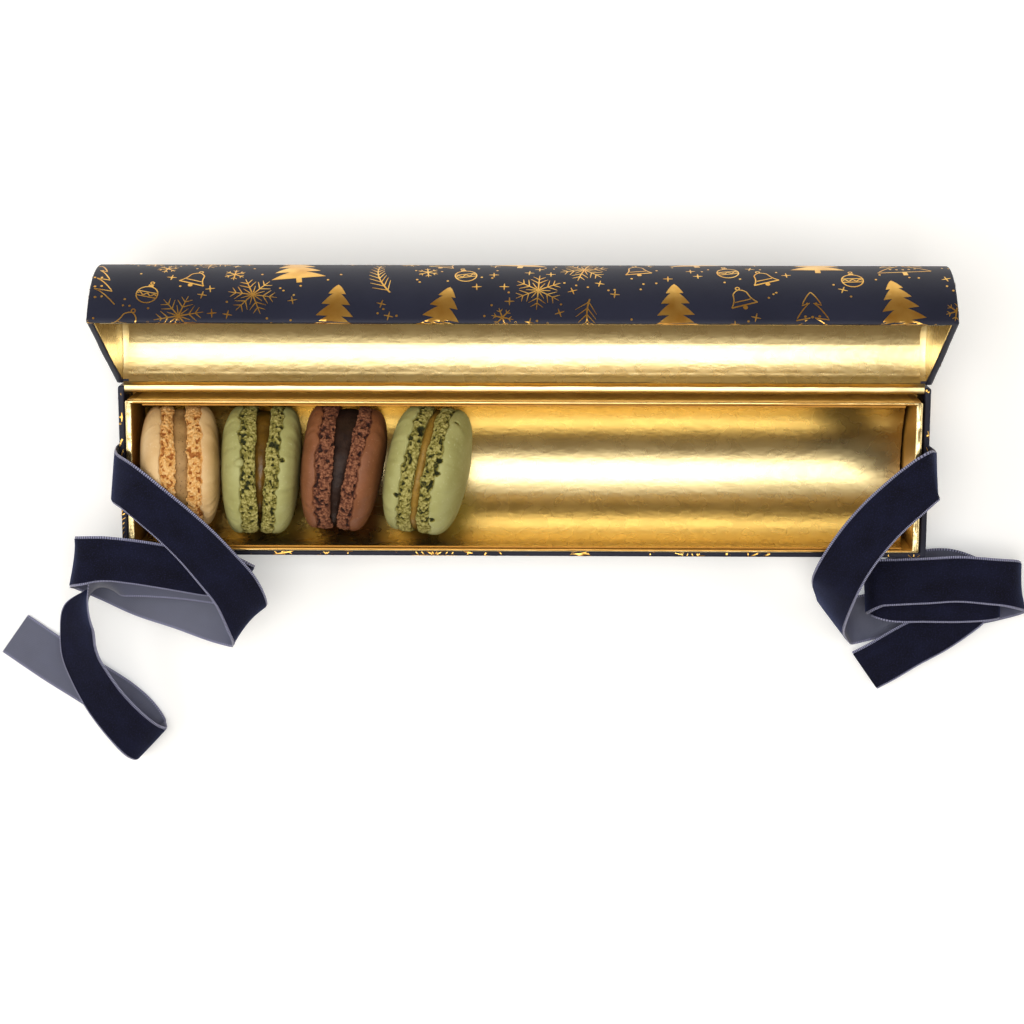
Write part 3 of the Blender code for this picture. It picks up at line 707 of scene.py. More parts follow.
def biscuit(name, finish, slot, place, lean, yaw, side, radius, thickness, foot_width, salt, chips):
    """One biscuit, a profile turned about X and then roughened. The profile runs from the middle of the flat
    inner face over the foot to the top of the dome, whose section is a superellipse. The foot's lumps are
    rounded humps round random spots, with cracks where two humps meet and a few deep pits."""
    turn = np.linspace(0.0, 2 * math.pi, AROUND, endpoint=False)
    away_y, away_z = np.sin(turn), np.cos(turn)
    rim = np.stack([0.0 * turn + salt, away_y * radius, away_z * radius], axis=-1)
    uneven = 0.007 * swell(rim, 0.013, salt) - 0.006
    foot = foot_width + 0.0007 * swell(rim, 0.006, salt + 1) + 0.0006 * swell(rim, 0.0020, salt + 2)
    ragged_edge = 0.0006 * swell(rim, 0.005, salt + 3) + 0.0004 * swell(rim, 0.0018, salt + 4)
    # The profile: how far out from the inner face, 0 to 1 over the foot and on to 2 over the dome, and the
    # share of the radius there
    share = np.linspace(0.0, 1.0, FOOT_ROWS)
    face = [(0.0, reach) for reach in (0.0, 0.4, 0.7, 0.84, 0.90, 0.93, 0.955)]
    foot_rows = np.column_stack([share, 0.968 + 0.030 * np.sin(math.pi * share) ** 0.6])
    rise = np.sin(np.linspace(0.0, math.pi / 2, DOME_ROWS)) ** 1.25
    dome_rows = np.column_stack([1.0 + rise, (1.0 - rise ** DOME_POWER) ** (1.0 / DOME_POWER)])
    dome_rows[0] = (1.02, 0.978)
    dome_rows[1:, 1] *= 1.004 - 0.012 * np.exp(-rise[1:] / 0.02)
    out, reach = np.vstack([face, foot_rows, dome_rows]).T[:, :, None]
    in_foot, above = np.clip(out, 0.0, 1.0), np.clip(out - 1.0, 0.0, 1.0)
    x = in_foot * foot + above * (thickness - foot)
    x = x + ragged_edge * smooth_step(reach, 0.91, 0.97) * (1.0 - smooth_step(in_foot, 0.0, 0.4))
    away = reach * radius * (1.0 + uneven * np.clip(reach / 0.9, 0.0, 1.0))
    points = np.stack([side * x, away * away_y, away * away_z], axis=-1)
    normal = grid_normals(points)
    mid_foot = len(face) + FOOT_ROWS // 2
    normal *= np.sign((normal[mid_foot] * points[mid_foot]).sum())
    crumbly = smooth_step(reach, 0.88, 0.95) * (above == 0.0) * (1.0 - smooth_step(in_foot, 0.93, 1.0) * 0.7)
    shift = np.stack([swell(points, 0.0013, salt + 10 + axis) for axis in range(3)], axis=-1)
    coarse, _ = crumbs(points + 0.0006 * shift, 0.0015, salt)
    fine, beside = crumbs(points + 0.0004 * shift, 0.0008, salt + 5)
    crack = np.exp(-((beside - fine) / 0.13) ** 2)
    at_skin = np.exp(-((in_foot - 0.90) / 0.16) ** 2)
    pit = smooth_step(swell(points + 0.0005 * shift, 0.0011, salt + 6) + 0.40 * at_skin, 0.30, 0.62)
    lift = crumbly * (0.00040 * (0.5 - coarse ** 2) + 0.00040 * (0.4 - fine ** 2) - 0.00016 * crack
                      + 0.00010 * swell(points, 0.0005, salt + 14) - 0.00060 * pit)
    wobble = 0.00022 * swell(points, 0.009, salt + 7) + 0.00006 * swell(points, 0.003, salt + 8)
    lift += smooth_step(above, 0.0, 0.06) * wobble
    for chip_turn, chip_level, depth, spread in chips:
        aside = radius * np.angle(np.exp(1j * (turn - math.radians(chip_turn))))
        ragged = 1.0 + 0.35 * swell(points, 0.0012, salt + 9)
        gap = np.hypot(aside, side * points[..., 0] - chip_level) / (spread * ragged)
        hole = smooth_step(-gap, -1.0, -0.55)
        lift -= depth * hole * (reach > 0.9)
        crumbly = np.maximum(crumbly, hole * (depth > 0.0))
    points = points + normal * lift[..., None]
    points[..., 0] = side * np.maximum(side * points[..., 0], -0.0007)
    tilt = np.array(Euler((0.0, math.radians(lean), math.radians(yaw))).to_matrix())
    points = points @ tilt.T + place
    values = {"crumb": crumbly + 0.0 * turn, "height": np.clip(0.5 + lift / 0.0013, 0.0, 1.0)}
    item = build(name + "_biscuit", points, None, [finish], values=values, sharp=180.0)
    dress(item, "base", slot, name)


def biscuit_finish(name, *shades):
    """Baked almond biscuit: the dome's skin with faint blotches, pores and almond specks, and the foot's
    crumbs, painted lighter on their tops and painted with shade in the pits, as the mesh's own height tells.
    The shades are the skin's two, the crumbs' painted top light, own tone and painted pit shade, and the
    specks'."""
    made, shader, place = material(name, Specular_IOR_Level=0.35)
    skin, skin_shade, crumb_painted_top_light, crumb_mid, crumb_painted_pit_shade, speck = (tone(*shade) for shade in shades)
    colour = ramp(grain(place, 0.008, detail=4.0), (0.35, skin_shade), (0.65, skin))
    pores = level(grain(place, 0.0009, detail=2.0), 0.63, 0.72)
    colour = mixed(pores, colour, speck)
    height = node(place, "Attribute", attribute_name="height")["Fac"]
    # Painted shade and light: the crumbs are darker the lower the mesh lies and lighter on its tops
    painted_shade_by_height = node(place, "Math", {0: height, 1: grain(place, 0.0011, detail=5.0)}, operation="ADD")[0]
    painted_shade_by_height = level(painted_shade_by_height, 0.50, 1.40)
    crumb = ramp(painted_shade_by_height, (0.10, crumb_painted_pit_shade), (0.46, crumb_mid), (0.85, crumb_painted_top_light))
    crumb_share = node(place, "Attribute", attribute_name="crumb")["Fac"]
    colour = mixed(level(crumb_share, 0.05, 0.3), colour, crumb)
    feed(shader, Base_Color=colour)
    feed(shader, Roughness=level(crumb_share, 0.0, 0.3, 0.55, 0.85))
    relief(shader, grain(place, 0.0005, detail=4.0), 0.00007)
    relief(shader, pores, 0.00004, 0.6)
    return made


def filling_finish(name, light, dark, speck, rough, gloss):
    """Soft filling: slow changes of tone, small specks, and the dull sheen of something set but moist."""
    made, shader, place = material(name, Roughness=rough, Specular_IOR_Level=gloss)
    colour = ramp(grain(place, 0.003, detail=4.0), (0.3, tone(*dark)), (0.7, tone(*light)))
    specks = level(grain(place, 0.0006, detail=1.0), 0.66, 0.72)
    feed(shader, Base_Color=mixed(specks, colour, tone(*speck)))
    relief(shader, grain(place, 0.0016, detail=4.0), 0.00025)
    return made


def filling(name, finish, slot, radius, height, offset, lean, left, right, salt, inset, gap):
    """The filling of one macaron: a disc between its two leaning, yawed inner faces, whose edge bulges
    softly. inset is how far its edge lies inside the biscuits; gap is a place where it stops short."""
    turn = np.linspace(0.0, 2 * math.pi, 240, endpoint=False)
    y, z = np.sin(turn), np.cos(turn)
    across = np.linspace(0.0, 1.0, 15)
    bulge = 0.0009 * np.sin(math.pi * across)[:, None] ** 0.7 - 0.0009
    rim = np.stack([0 * y + salt, y * radius, z * radius], axis=-1)
    reach = radius - inset + 0.0006 * swell(rim, 0.007, salt)
    if gap:
        gap_turn, gap_width, gap_depth = gap
        away = np.angle(np.exp(1j * (turn - math.radians(gap_turn))))
        reach = reach - gap_depth * np.exp(-(away / math.radians(gap_width)) ** 2)
    share = np.concatenate([[0.0, 0.0], across, [1.0, 1.0]])[:, None]
    edge = np.vstack([0.0 * reach, 0.6 * reach, reach + bulge, 0.6 * reach, 0.0 * reach])
    ring_y, ring_z = edge * y, edge * z
    start, end = (x - math.tan(math.radians(yaw)) * ring_y
                  + math.tan(math.radians(lean)) / math.cos(math.radians(yaw)) * ring_z
                  for x, _, yaw, _ in (left, right))
    ring_x = start - SUNK + share * (end - start + 2 * SUNK)
    points = np.stack([ring_x, ring_y + offset, ring_z + height], axis=-1)
    points[..., 1:] += 0.00010 * swell(points, 0.0022, salt)[..., None] * np.stack([y, z], axis=-1)
    item = build(name + "_cream", points, None, [finish], sharp=180.0)
    dress(item, "base", slot, name)


# Each biscuit's crumb tones run from painted top light, through the crumbs' own tone, to painted pit shade
VANILLA = biscuit_finish("vanilla_biscuit", (214, 182, 132), (207, 171, 119), (224, 184, 124),
                         (206, 152, 82), (150, 88, 34), (217, 188, 144))
PISTACHIO = biscuit_finish("pistachio_biscuit", (165, 165, 108), (154, 153, 94), (174, 166, 100),
                           (114, 107, 42), (34, 38, 8), (177, 177, 129))
CHOCOLATE = biscuit_finish("chocolate_biscuit", (133, 83, 53), (120, 73, 44), (146, 96, 68),
                           (90, 48, 30), (36, 14, 9), (143, 97, 67))
VANILLA_CREAM = filling_finish("vanilla_cream", (166, 131, 83), (145, 112, 67), (85, 58, 32), 0.6, 0.3)
CARAMEL = filling_finish("pistachio_caramel", (108, 78, 24), (72, 50, 12), (96, 74, 26), 0.28, 0.32)
PRALINE = filling_finish("pistachio_praline", (150, 118, 46), (128, 97, 32), (106, 85, 35), 0.5, 0.35)
GANACHE = filling_finish("chocolate_ganache", (50, 34, 27), (32, 19, 16), (27, 16, 12), 0.5, 0.2)

# Each macaron: name, finishes, radius, height and offset of its middle, lean, then the place of the inner
# face, thickness, yaw and foot width of its left and right biscuit, the filling's inset and where it stops
MACARONS = (
    ("vanilla", VANILLA, VANILLA_CREAM, 0.0213, 0.03205, 0.0022, 8.0,
     (-0.1227, 0.0120, 0.5, 0.0046), (-0.1182, 0.0114, -0.5, 0.0050), 0.0014, None),
    ("pistachio_a", PISTACHIO, CARAMEL, 0.0225, 0.03235, 0.0013, 4.5,
     (-0.0935, 0.0125, 0.0, 0.0052), (-0.0902, 0.0119, -6.0, 0.0044), 0.0021, (-62.0, 24.0, 0.0035)),
    ("chocolate", CHOCOLATE, GANACHE, 0.0219, 0.03235, 0.0021, 0.5,
     (-0.0660, 0.0116, -3.5, 0.0052), (-0.0613, 0.0121, -12.0, 0.0047), 0.0017, None),
    ("pistachio_b", PISTACHIO, PRALINE, 0.0225, 0.03305, 0.0014, -5.5,
     (-0.0351, 0.0125, -9.6, 0.0043), (-0.0325, 0.0131, -10.9, 0.0045), 0.0016, None),
)

# Places where a biscuit is chipped, or bulges where the depth is below nought: angle round from the top
# towards the hinge, distance out from the inner face, depth and spread
CHIPS = {
    "pistachio_b_left": ((47.0, 0.0004, 0.0014, 0.0022), (-17.0, 0.0053, 0.0009, 0.0011)),
    "pistachio_b_right": ((64.0, 0.0070, 0.0017, 0.0010), (-40.0, 0.0054, 0.0010, 0.0012),
                          (20.0, 0.0050, 0.0007, 0.0014), (8.0, 0.0050, 0.0006, 0.0011)),
    "pistachio_a_left": ((16.0, 0.0054, -0.0008, 0.0017),),
    "pistachio_a_right": ((34.0, 0.0012, 0.0008, 0.0014), (20.0, 0.0052, 0.0008, 0.0011)),
    "vanilla_left": ((38.0, 0.0048, -0.0003, 0.0016),),
}

for salt, (name, crust, cream, radius, height, offset, lean, left, right, inset, gap) in enumerate(MACARONS):
    flavour = name.split("_")[0]
    for label, side, (x, thickness, yaw, foot_width) in (("left", -1, left), ("right", 1, right)):
        half = f"{name}_{label}"
        biscuit(half, crust, flavour + "_biscuit", (x, offset, height), lean, yaw, side, radius,
                thickness, foot_width, 40 * salt + 17 * side + 100, CHIPS.get(half, ()))
    filling(name + "_filling", cream, flavour + "_filling", radius, height, offset, lean, left, right,
            salt + 300, inset, gap)

# Lid. Thin card is bent to a half round and glued to two half discs of grey board; the night-blue print is
# wrapped round it and over its rims, and the discs' inner faces are papered gold. It is shown tipped back.
LID_BOARD = 0.0015
LID_RADIUS = HALF_DEPTH
LID_INNER_RADIUS = LID_RADIUS - LID_BOARD
LID_AXIS_Z = BASE_HEIGHT + 0.0003
LID_BACK_RELIEF = 0.00055
LID_EDGE = 0.0005


def tip_back(points):
    """Points of the shut lid turned open about the hinge."""
    y, z = points[..., 1] - HINGE_Y, points[..., 2] - HINGE_Z
    across, up = math.cos(LID_OPEN), math.sin(LID_OPEN)
    turned = np.array(points, float)
    turned[..., 1] = HINGE_Y + across * y + up * z
    turned[..., 2] = HINGE_Z - up * y + across * z
    return turned


def lid_profile(radius, half_length, edge, count):
    """Places along the lid, as pairs of x and distance from its axis: out over the left disc, round its
    edge, along the length and back over the right disc."""
    turn = np.linspace(0.0, math.pi / 2, 5)
    disc = np.column_stack([np.full(16, -half_length), np.linspace(0.0, radius - edge, 17)[:-1]])
    bend = np.column_stack([-half_length + edge * (1 - np.cos(turn)), radius - edge + edge * np.sin(turn)])
    half = np.vstack([disc, bend])
    along = np.linspace(half[-1, 0], -half[-1, 0], count)[1:-1]
    return np.vstack([half, np.column_stack([along, np.full(len(along), radius)]), half[::-1] * (-1, 1)])


def lid_rows(profile, angles):
    """Grid of points of a profile turned about the lid's axis; its back end stops at the hinge's relief."""
    angles = np.asarray(angles)[:, None]
    x = np.broadcast_to(profile[:, 0], (len(angles), len(profile)))
    y = -np.cos(angles) * profile[:, 1]
    z = LID_AXIS_Z + np.sin(angles) * profile[:, 1]
    share = (y / LID_RADIUS + 1.0) / 2.0
    return np.stack([x, y, np.maximum(z, LID_AXIS_Z + LID_BACK_RELIEF * share)], axis=-1)


outer_profile = lid_profile(LID_RADIUS, HALF_LENGTH, LID_EDGE, 160)
inner_profile = lid_profile(LID_INNER_RADIUS, HALF_LENGTH - END_BOARD, 0.0001, 160)
outer_rows = lid_rows(outer_profile, np.linspace(0.0, math.pi, 61))
inner_rows = lid_rows(inner_profile, np.linspace(math.pi, 0.0, 61))
share = np.array([0.12, 0.35, 0.65, 0.88])[:, None, None]
front_rim = inner_rows[-1] * (1.0 - share) + outer_rows[0] * share
back_rim = outer_rows[-1] * (1.0 - share) + inner_rows[0] * share
for row, lift in ((outer_rows[0], 0.6), (inner_rows[-1], 0.6), (outer_rows[-1], 0.3), (inner_rows[0], 0.3)):
    row[:, 2] += LID_EDGE * lift
rows = np.concatenate([outer_rows, back_rim, inner_rows, front_rim])
corners = cells(*rows.shape[:2], ring_rows=True)
row_of = corners[:, 0] // rows.shape[1] - len(outer_rows) - len(back_rim)
LID_END_GOLD = gold_paper("lid_end_gold_paper", 0.0030, 0.00006, 0.27)
lid_board = build("lid_board", tip_back(rows), corners, [NIGHT_PAPER, LID_END_GOLD],
                  finish_of=(row_of > 0) & (row_of < len(inner_rows) - 1), sharp=50.0)
dress(lid_board, "lid", "printed_paper", "lid_shell")

# Foil on the lid. The same gold print runs over the half round and its front rim, and over both end discs.
# It is on the paper before that is cut and wrapped, so it runs off at every edge.
LID_ARC = math.pi * LID_RADIUS
CLEAR_AT_FRONT, CLEAR_AT_BACK = 0.0002, 0.0008


def round_the_lid(u, v):
    """Point on the open lid at u along its length and v round it from its front edge; a v below nought lies
    on the front rim. It is lifted off the paper along the normal."""
    angle = np.clip(v, 0.0, LID_ARC) / LID_RADIUS
    inward = np.clip(-v, 0.0, LID_BOARD)
    reach = LID_RADIUS - inward + FOIL_LIFT * (v >= 0.0)
    y, z = -np.cos(angle) * reach, LID_AXIS_Z + np.sin(angle) * reach
    z = np.where(v < 0.0, LID_AXIS_Z - FOIL_LIFT, z)
    return tip_back(np.stack([u - HALF_LENGTH, y, z], axis=-1))


def on_disc(side, u, v):
    """Point on one of the open lid's end discs, the left one where side is -1: u across it from the disc's
    left as it is looked at, and v upwards."""
    x = 0.0 * u + side * (HALF_LENGTH + FOIL_LIFT)
    return tip_back(np.stack([x, side * (LID_RADIUS - u), v + LID_AXIS_Z], axis=-1))


def on_half_round(u, v):
    """Whether a place lies on the half round or its front rim, clear of the edges."""
    along = np.abs(u - HALF_LENGTH) < HALF_LENGTH - LID_EDGE
    return along & (v > CLEAR_AT_FRONT - LID_BOARD) & (v < LID_ARC - CLEAR_AT_BACK)


def in_disc(u, v):
    """Whether a place lies on the half disc, clear of its edge."""
    return (np.hypot(u - LID_RADIUS, v) < LID_RADIUS - LID_EDGE) & (v > LID_EDGE)


lid_lines = [(points - (0.0, LID_BOARD), width)
             for points, width in scatter_motifs(2 * HALF_LENGTH, LID_ARC + LID_BOARD, seed=5)]
panels = [lay_foil(lid_lines, round_the_lid, on_half_round)]
for seed, side in ((21, -1), (22, 1)):
    disc_lines = scatter_motifs(2 * LID_RADIUS, LID_RADIUS, seed)
    panels.append(lay_foil(disc_lines, lambda u, v: on_disc(side, u, v), in_disc))
points = np.vstack([panel[0] for panel in panels])
starts = np.cumsum([0] + [len(panel[0]) for panel in panels[:-1]])
faces = np.vstack([panel[1] + start for panel, start in zip(panels, starts)])
foil_lid = build("foil_lid", points, faces, [GOLD_FOIL], weld=False)
dress(foil_lid, "lid", "printed_paper")

# Lining of the lid. A sheet of gold card is sprung into the half round and glued along both long edges; it
# is cut short of the end discs, and has two creases near its back edge where it was pressed down.
LINER_CARD = 0.0003
LINER_RADIUS = LID_INNER_RADIUS - 0.0002 - LINER_CARD
LINER_HALF_LENGTH = HALF_LENGTH - END_BOARD - 0.0018
LINER_CREASE, LINER_SCORE = math.radians(173.7), math.radians(151.5)
LINER_SPRING = 0.0016
LINER_CUT_FROM, LINER_CUT_SPAN = 0.132, 0.0065
LINER_GOLD = gold_paper("liner_gold_paper", 0.0019, 0.000055, 0.27, (2.2, 1.0, 1.0))

angles = np.linspace(0.004, math.pi - LID_BACK_RELIEF / LINER_RADIUS, 140)
spring = LINER_SPRING * smooth_step(angles, math.radians(50.0), math.radians(121.0))
spring *= smooth_step(-angles, -math.radians(161.0), -math.radians(121.0))
spring -= 0.00008 * np.exp(-((angles - LINER_CREASE) / 0.010) ** 2)
spring -= 0.00006 * np.exp(-((angles - LINER_SCORE) / 0.016) ** 2)
section_line = np.column_stack([-np.cos(angles) * (LINER_RADIUS - spring),
                                LID_AXIS_Z + np.sin(angles) * (LINER_RADIUS - spring)])
rings = along_the_box(card_section(section_line, LINER_CARD), LINER_HALF_LENGTH, 200)
inward = (rings * (0.0, 1.0, 1.0) - (0.0, 0.0, LID_AXIS_Z)) / LINER_RADIUS
rings -= inward * (buckle(rings, 0.35, 31) + 0.00004)[..., None]
near_end = np.maximum(np.abs(rings[..., 0]) - LINER_CUT_FROM, 0.0) / LINER_CUT_SPAN
rings[..., 0] -= near_end * np.sign(rings[..., 0]) * (0.0004 + 0.0003 * swell(rings, 0.006, 33))
liner = build("lid_lining", tip_back(rings), None, [LINER_GOLD], sharp=50.0)
dress(liner, "lid", "gold_paper", "lid_liner")

# Ribbons. Two lengths of night-blue velvet ribbon, woven with a satin back and a tight selvedge along both
# edges, are glued to the base's ends. They tie over the shut lid; here each falls in loose loops in front.
RIBBON_WIDTH = 0.0175
RIBBON_THICKNESS = 0.0008
SELVEDGE = 0.0008
RIBBON_STEP = 0.0008
BACK_FACE = -0.00036
WAVE_SPAN = 0.314

# Routes in millimetres and degrees: centre x, y, z, then the heading and the dip of the line across the
# ribbon, from its hinge-side edge to its other edge
LEFT_ROUTE = (
    (-143.6, 0, 4, -90, 0), (-143.6, 0, 20, -90, 0), (-143.9, 0, 31, -92, 0),
    (-142.2, -0.3, 42.5, -100, -6), (-136.5, -2, 50.2, -113, -14), (-130, -6.5, 52.9, -126, -17),
    (-121, -14.5, 52.3, -134, -15), (-113.5, -22.5, 50.2, -138, -10), (-106.5, -31.5, 47.5, -141, -3),
    (-100.5, -41, 43, -143, 6), (-98, -53.5, 33.5, -131, 3), (-102, -56.5, 25.5, -124, 3),
    (-110.5, -55.5, 22.5, -115, 0), (-123.3, -51.3, 20.8, -111, 0), (-138, -46.8, 19.2, -110, 0),
    (-149.8, -41.5, 18.3, -106, 0), (-158, -36.5, 22, -103, 0), (-159.4, -33, 32.5, -101, -3),
    (-156, -30.5, 39.5, -100, -8), (-147.5, -29.5, 41.5, -100, -12), (-137, -30.5, 41.5, -99, -12),
    (-125, -32.5, 41, -100, -12), (-113, -35, 39.5, -100, -13), (-104.5, -37, 37, -101, -14),
    (-100.5, -40, 34.5, -101, -14), (-99.8, -42, 31.5, -101, -14), (-102.5, -41.5, 29.5, -102, -13),
    (-110, -40, 30, -98, -12), (-122.5, -38.5, 30, -96, -14), (-135.5, -38, 30, -97, -18),
    (-144.5, -38.2, 30.6, -95, -22), (-150.3, -40.3, 30.6, -106, -42),
    (-154.6, -44.5, 30.8, -136, -60), (-158.6, -51.8, 30.6, -168, -43), (-160.2, -61, 27.5, -182, -34),
    (-159.8, -69, 25.5, -172, -28), (-157.5, -76.5, 23, -158, -25), (-152.5, -87.5, 19.5, -148, -18),
    (-146, -97.5, 16, -141, -10), (-140.5, -104.5, 12, -133, -2), (-138, -107, 7, -133, 0),
    (-139.5, -105, 2.5, -128, 0), (-144.5, -98, 1.2, -129, 0), (-151, -92, 1.2, -126, 0),
    (-160, -86, 1.2, -124, 0), (-174.5, -76.5, 1.2, -124, 0), (-188.5, -66.5, 1.2, -125, 0),
)
RIGHT_ROUTE = (
    (143.6, 0, 4, -90, 0), (143.6, 0, 20, -90, 0), (144.5, 0, 34, -88, 0), (142, 1.5, 43, -77, 0),
    (138, -1, 45, -69, -1), (132.5, -5.5, 46, -58, 0), (125, -12.5, 46.5, -49, 0),
    (119, -19.5, 46.5, -42, 2), (114.5, -26.5, 45, -27, 5), (111.5, -32.5, 43, -20, 11),
    (109.5, -38.5, 39.5, -17, 23), (109, -44.5, 33, -26, 36), (110, -52.5, 22, -47, 41),
    (113, -58, 10.5, -53, 18), (118.5, -60, 3.5, -61, 6), (128, -58.5, 1.5, -75, 1),
    (139.5, -56.5, 1.2, -79, 0), (154, -54.5, 1.2, -80, 0), (167, -52.5, 1.7, -80, 0),
    (176.5, -49, 5, -82, 0), (180, -45.5, 11, -84, 0), (176.5, -42.5, 17.5, -84, -3),
    (167.5, -41, 20.5, -87, -5), (156, -40, 21.5, -89, -5), (145, -40.5, 22, -91, -4),
    (134.5, -41, 22, -93, -3), (126, -42, 20.5, -90, -1), (123.5, -45.5, 15, -86, 0),
    (126, -46, 9.5, -86, 0), (130.5, -45.5, 6.5, -85, 0), (135, -44, 5, -85, 0),
    (145.5, -41.5, 4.5, -87, 0), (154, -41, 4.5, -87, 0), (162, -43.5, 5, -87, 0),
    (169, -47, 6.5, -89, 0), (172.5, -48, 11, -88, 0), (167.5, -48, 16, -87, -1),
    (157.5, -48.5, 16.8, -86, -2), (145, -48.5, 16.8, -87, -2), (133.5, -48.5, 16.2, -87, -2),
    (127.5, -47, 15, -87, -1), (126, -47, 13, -87, 0), (129, -47.5, 10.5, -86, 0),
    (137.5, -48.5, 8.5, -84, 0), (149, -48.5, 8.1, -80, 0), (158.5, -48.5, 8.6, -76, 0),
    (163.5, -49, 10, -72, 0), (162, -51.5, 12, -60, -1), (156.5, -56.5, 12, -52, -4),
    (149, -62.5, 10.5, -51, -5), (140, -68.5, 8, -53, -5), (131.5, -74.5, 6, -54, -4),
    (125.5, -78.5, 4, -53, -3),
)


def through(values, knots, places):
    """Cubic Hermite curve through values at uneven knots, its slopes from the neighbouring points."""
    slopes = np.gradient(values, knots, axis=0)
    span = np.clip(np.searchsorted(knots, places, side="right") - 1, 0, len(knots) - 2)
    width = (knots[span + 1] - knots[span])[:, None]
    s = (places - knots[span])[:, None] / width
    start, end = values[span], values[span + 1]
    rise_start, rise_end = width * slopes[span], width * slopes[span + 1]
    ease = s * s * (3.0 - 2.0 * s)
    return start + ease * (end - start) + s * (1 - s) ** 2 * rise_start - s * s * (1 - s) * rise_end


def velvet():
    """Cut velvet pile: nearly black looked at straight on, with a blue sheen at its turns, and lighter specks
    painted in as glints where the pile lies unevenly. Reads the ribbon's own UV, in metres along and across."""
    made, shader, weave = material("velvet_pile", "UV", Roughness=0.9, Specular_IOR_Level=0.15,
                                         Sheen_Weight=0.20, Sheen_Roughness=0.40,
                                         Sheen_Tint=tone(112, 134, 220))
    pile = grain(weave, 0.0004, (1.4, 1.0, 1.0), 4.0)
    crushed = grain(weave, 0.007, (1.6, 1.0, 1.0))
    colour = ramp(crushed, (0.3, tone(9, 10, 22)), (0.7, tone(17, 20, 40)))
    # Painted glints: lighter blue specks in the pile's colour
    painted_glint = level(pile, 0.50, 0.80)
    feed(shader, Base_Color=mixed(painted_glint, colour, tone(34, 35, 68)))
    relief(shader, pile, 0.00016)
    return made


def satin():
    """Satin back: pale blue-grey floats laid in a fine diagonal, brighter along the float. A wave texture
    repeats every WAVE_SPAN over its scale."""
    made, shader, weave = material("satin_back", "UV", Roughness=0.42, Specular_IOR_Level=0.5,
                                   Sheen_Weight=0.2, Sheen_Roughness=0.5)
    turned = node(weave, "Mapping", {"Vector": weave, "Rotation": (0.0, 0.0, math.radians(27.0))})[0]
    floats = node(weave, "TexWave", {"Vector": turned, "Scale": WAVE_SPAN / 0.00042, "Distortion": 0.3},
                  bands_direction="Y")["Fac"]
    colour = ramp(floats, (0.2, tone(64, 68, 90)), (0.8, tone(86, 91, 115)))
    cloud = level(grain(weave, 0.005), 0.3, 0.7)
    feed(shader, Base_Color=mixed(cloud, colour, tone(79, 84, 108)))
    relief(shader, floats, 0.00005)
    return made


def selvedge():
    """Woven edge: pale thread wrapped over a cord, seen as a ladder of short stitches."""
    made, shader, weave = material("selvedge", "UV", Roughness=0.55, Sheen_Weight=0.2)
    given = {"Vector": weave, "Scale": WAVE_SPAN / 0.0007}
    rungs = node(weave, "TexWave", given, bands_direction="X")["Fac"]
    colour = ramp(rungs, (0.25, tone(50, 53, 84)), (0.65, tone(150, 153, 184)))
    feed(shader, Base_Color=colour)
    relief(shader, rungs, 0.00012)
    return made


def ribbon(name, route, finishes, velvet_side):
    """Velvet ribbon swept along its route. Its section is a closed line: the pile, a little crowned, ends
    short of the thin selvedges, and the back is flat. The line across the ribbon is kept square to its
    run."""
    route = np.array(route, dtype=float)
    centre = route[:, :3] * 0.001
    heading, dip = np.radians(route[:, 3:]).T
    across = np.column_stack([np.cos(heading) * np.cos(dip), np.sin(heading) * np.cos(dip), np.sin(dip)])
    chords = np.linalg.norm(np.diff(centre, axis=0), axis=1)
    knots = np.concatenate([[0.0], np.cumsum(np.sqrt(chords))])
    fine = np.linspace(0.0, knots[-1], 4000)
    length = run_along(through(centre, knots, fine))
    along = np.linspace(0.0, length[-1], int(round(length[-1] / RIBBON_STEP)) + 1)
    places = np.interp(along, length, fine)
    middle, across = through(centre, knots, places), through(across, knots, places)
    run = np.gradient(middle, axis=0)
    run /= np.linalg.norm(run, axis=1)[:, None]
    across -= (across * run).sum(axis=1)[:, None] * run
    across /= np.linalg.norm(across, axis=1)[:, None]
    face = np.cross(run, across) * velvet_side
    half, thick = RIBBON_WIDTH / 2, RIBBON_THICKNESS / 2
    pile_edge = half - SELVEDGE
    pile_v = np.linspace(-pile_edge, pile_edge, 15)
    pile = np.column_stack([pile_v, thick * (0.82 + 0.18 * (1.0 - (pile_v / pile_edge) ** 2))])
    right = np.array([(pile_edge + 0.00006, -0.00005), (half - 0.00035, 0.00010), (half - 0.0001, 0.0),
                      (half, -0.0002), (half - 0.0001, BACK_FACE), (half - 0.0003, -0.0004)])
    back = np.column_stack([np.linspace(pile_edge, -pile_edge, 11), np.full(11, BACK_FACE)])
    section = np.vstack([pile, right, back, right[::-1] * (-1, 1)])
    points = middle[:, None] + across[:, None] * section[:, :1] + face[:, None] * section[:, 1:]
    faces = cells(*points.shape[:2], ring_columns=True)
    row, column = np.divmod(faces[:, 0], len(section))
    on_pile, back_column = column < len(pile) - 1, column - len(pile) - len(right)
    on_back = (back_column >= 0) & (back_column < len(back) - 1)
    finish_of = np.where(on_pile, 0, np.where(on_back, 2, 1))
    section_v = np.append(section[:, 0], section[0, 0])
    corner_u = along[np.column_stack([row, row, row + 1, row + 1])]
    corner_v = section_v[np.column_stack([column, column + 1, column + 1, column])]
    uv = np.stack([corner_u, corner_v], axis=-1)
    item = build(name + "_velvet", points, faces, finishes, finish_of, uv, sharp=50.0, weld=False, fill=True)
    dress(item, "base", "velvet_ribbon", name)
    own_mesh(item)


RIBBON_FINISHES = [velvet(), selvedge(), satin()]
ribbon("ribbon_left", LEFT_ROUTE, RIBBON_FINISHES, -1.0)
ribbon("ribbon_right", RIGHT_ROUTE, RIBBON_FINISHES, 1.0)

# Studio. A pale table, a wide soft box overhead with two brighter ones under it, weak ones far to the sides,
# and a camera above that looks down past the open lid. The room round it is dim and warm, and a pale wall
# shows behind the table.
FLOOR_SIZE = 3.0
FLOOR_DROP = 0.00005


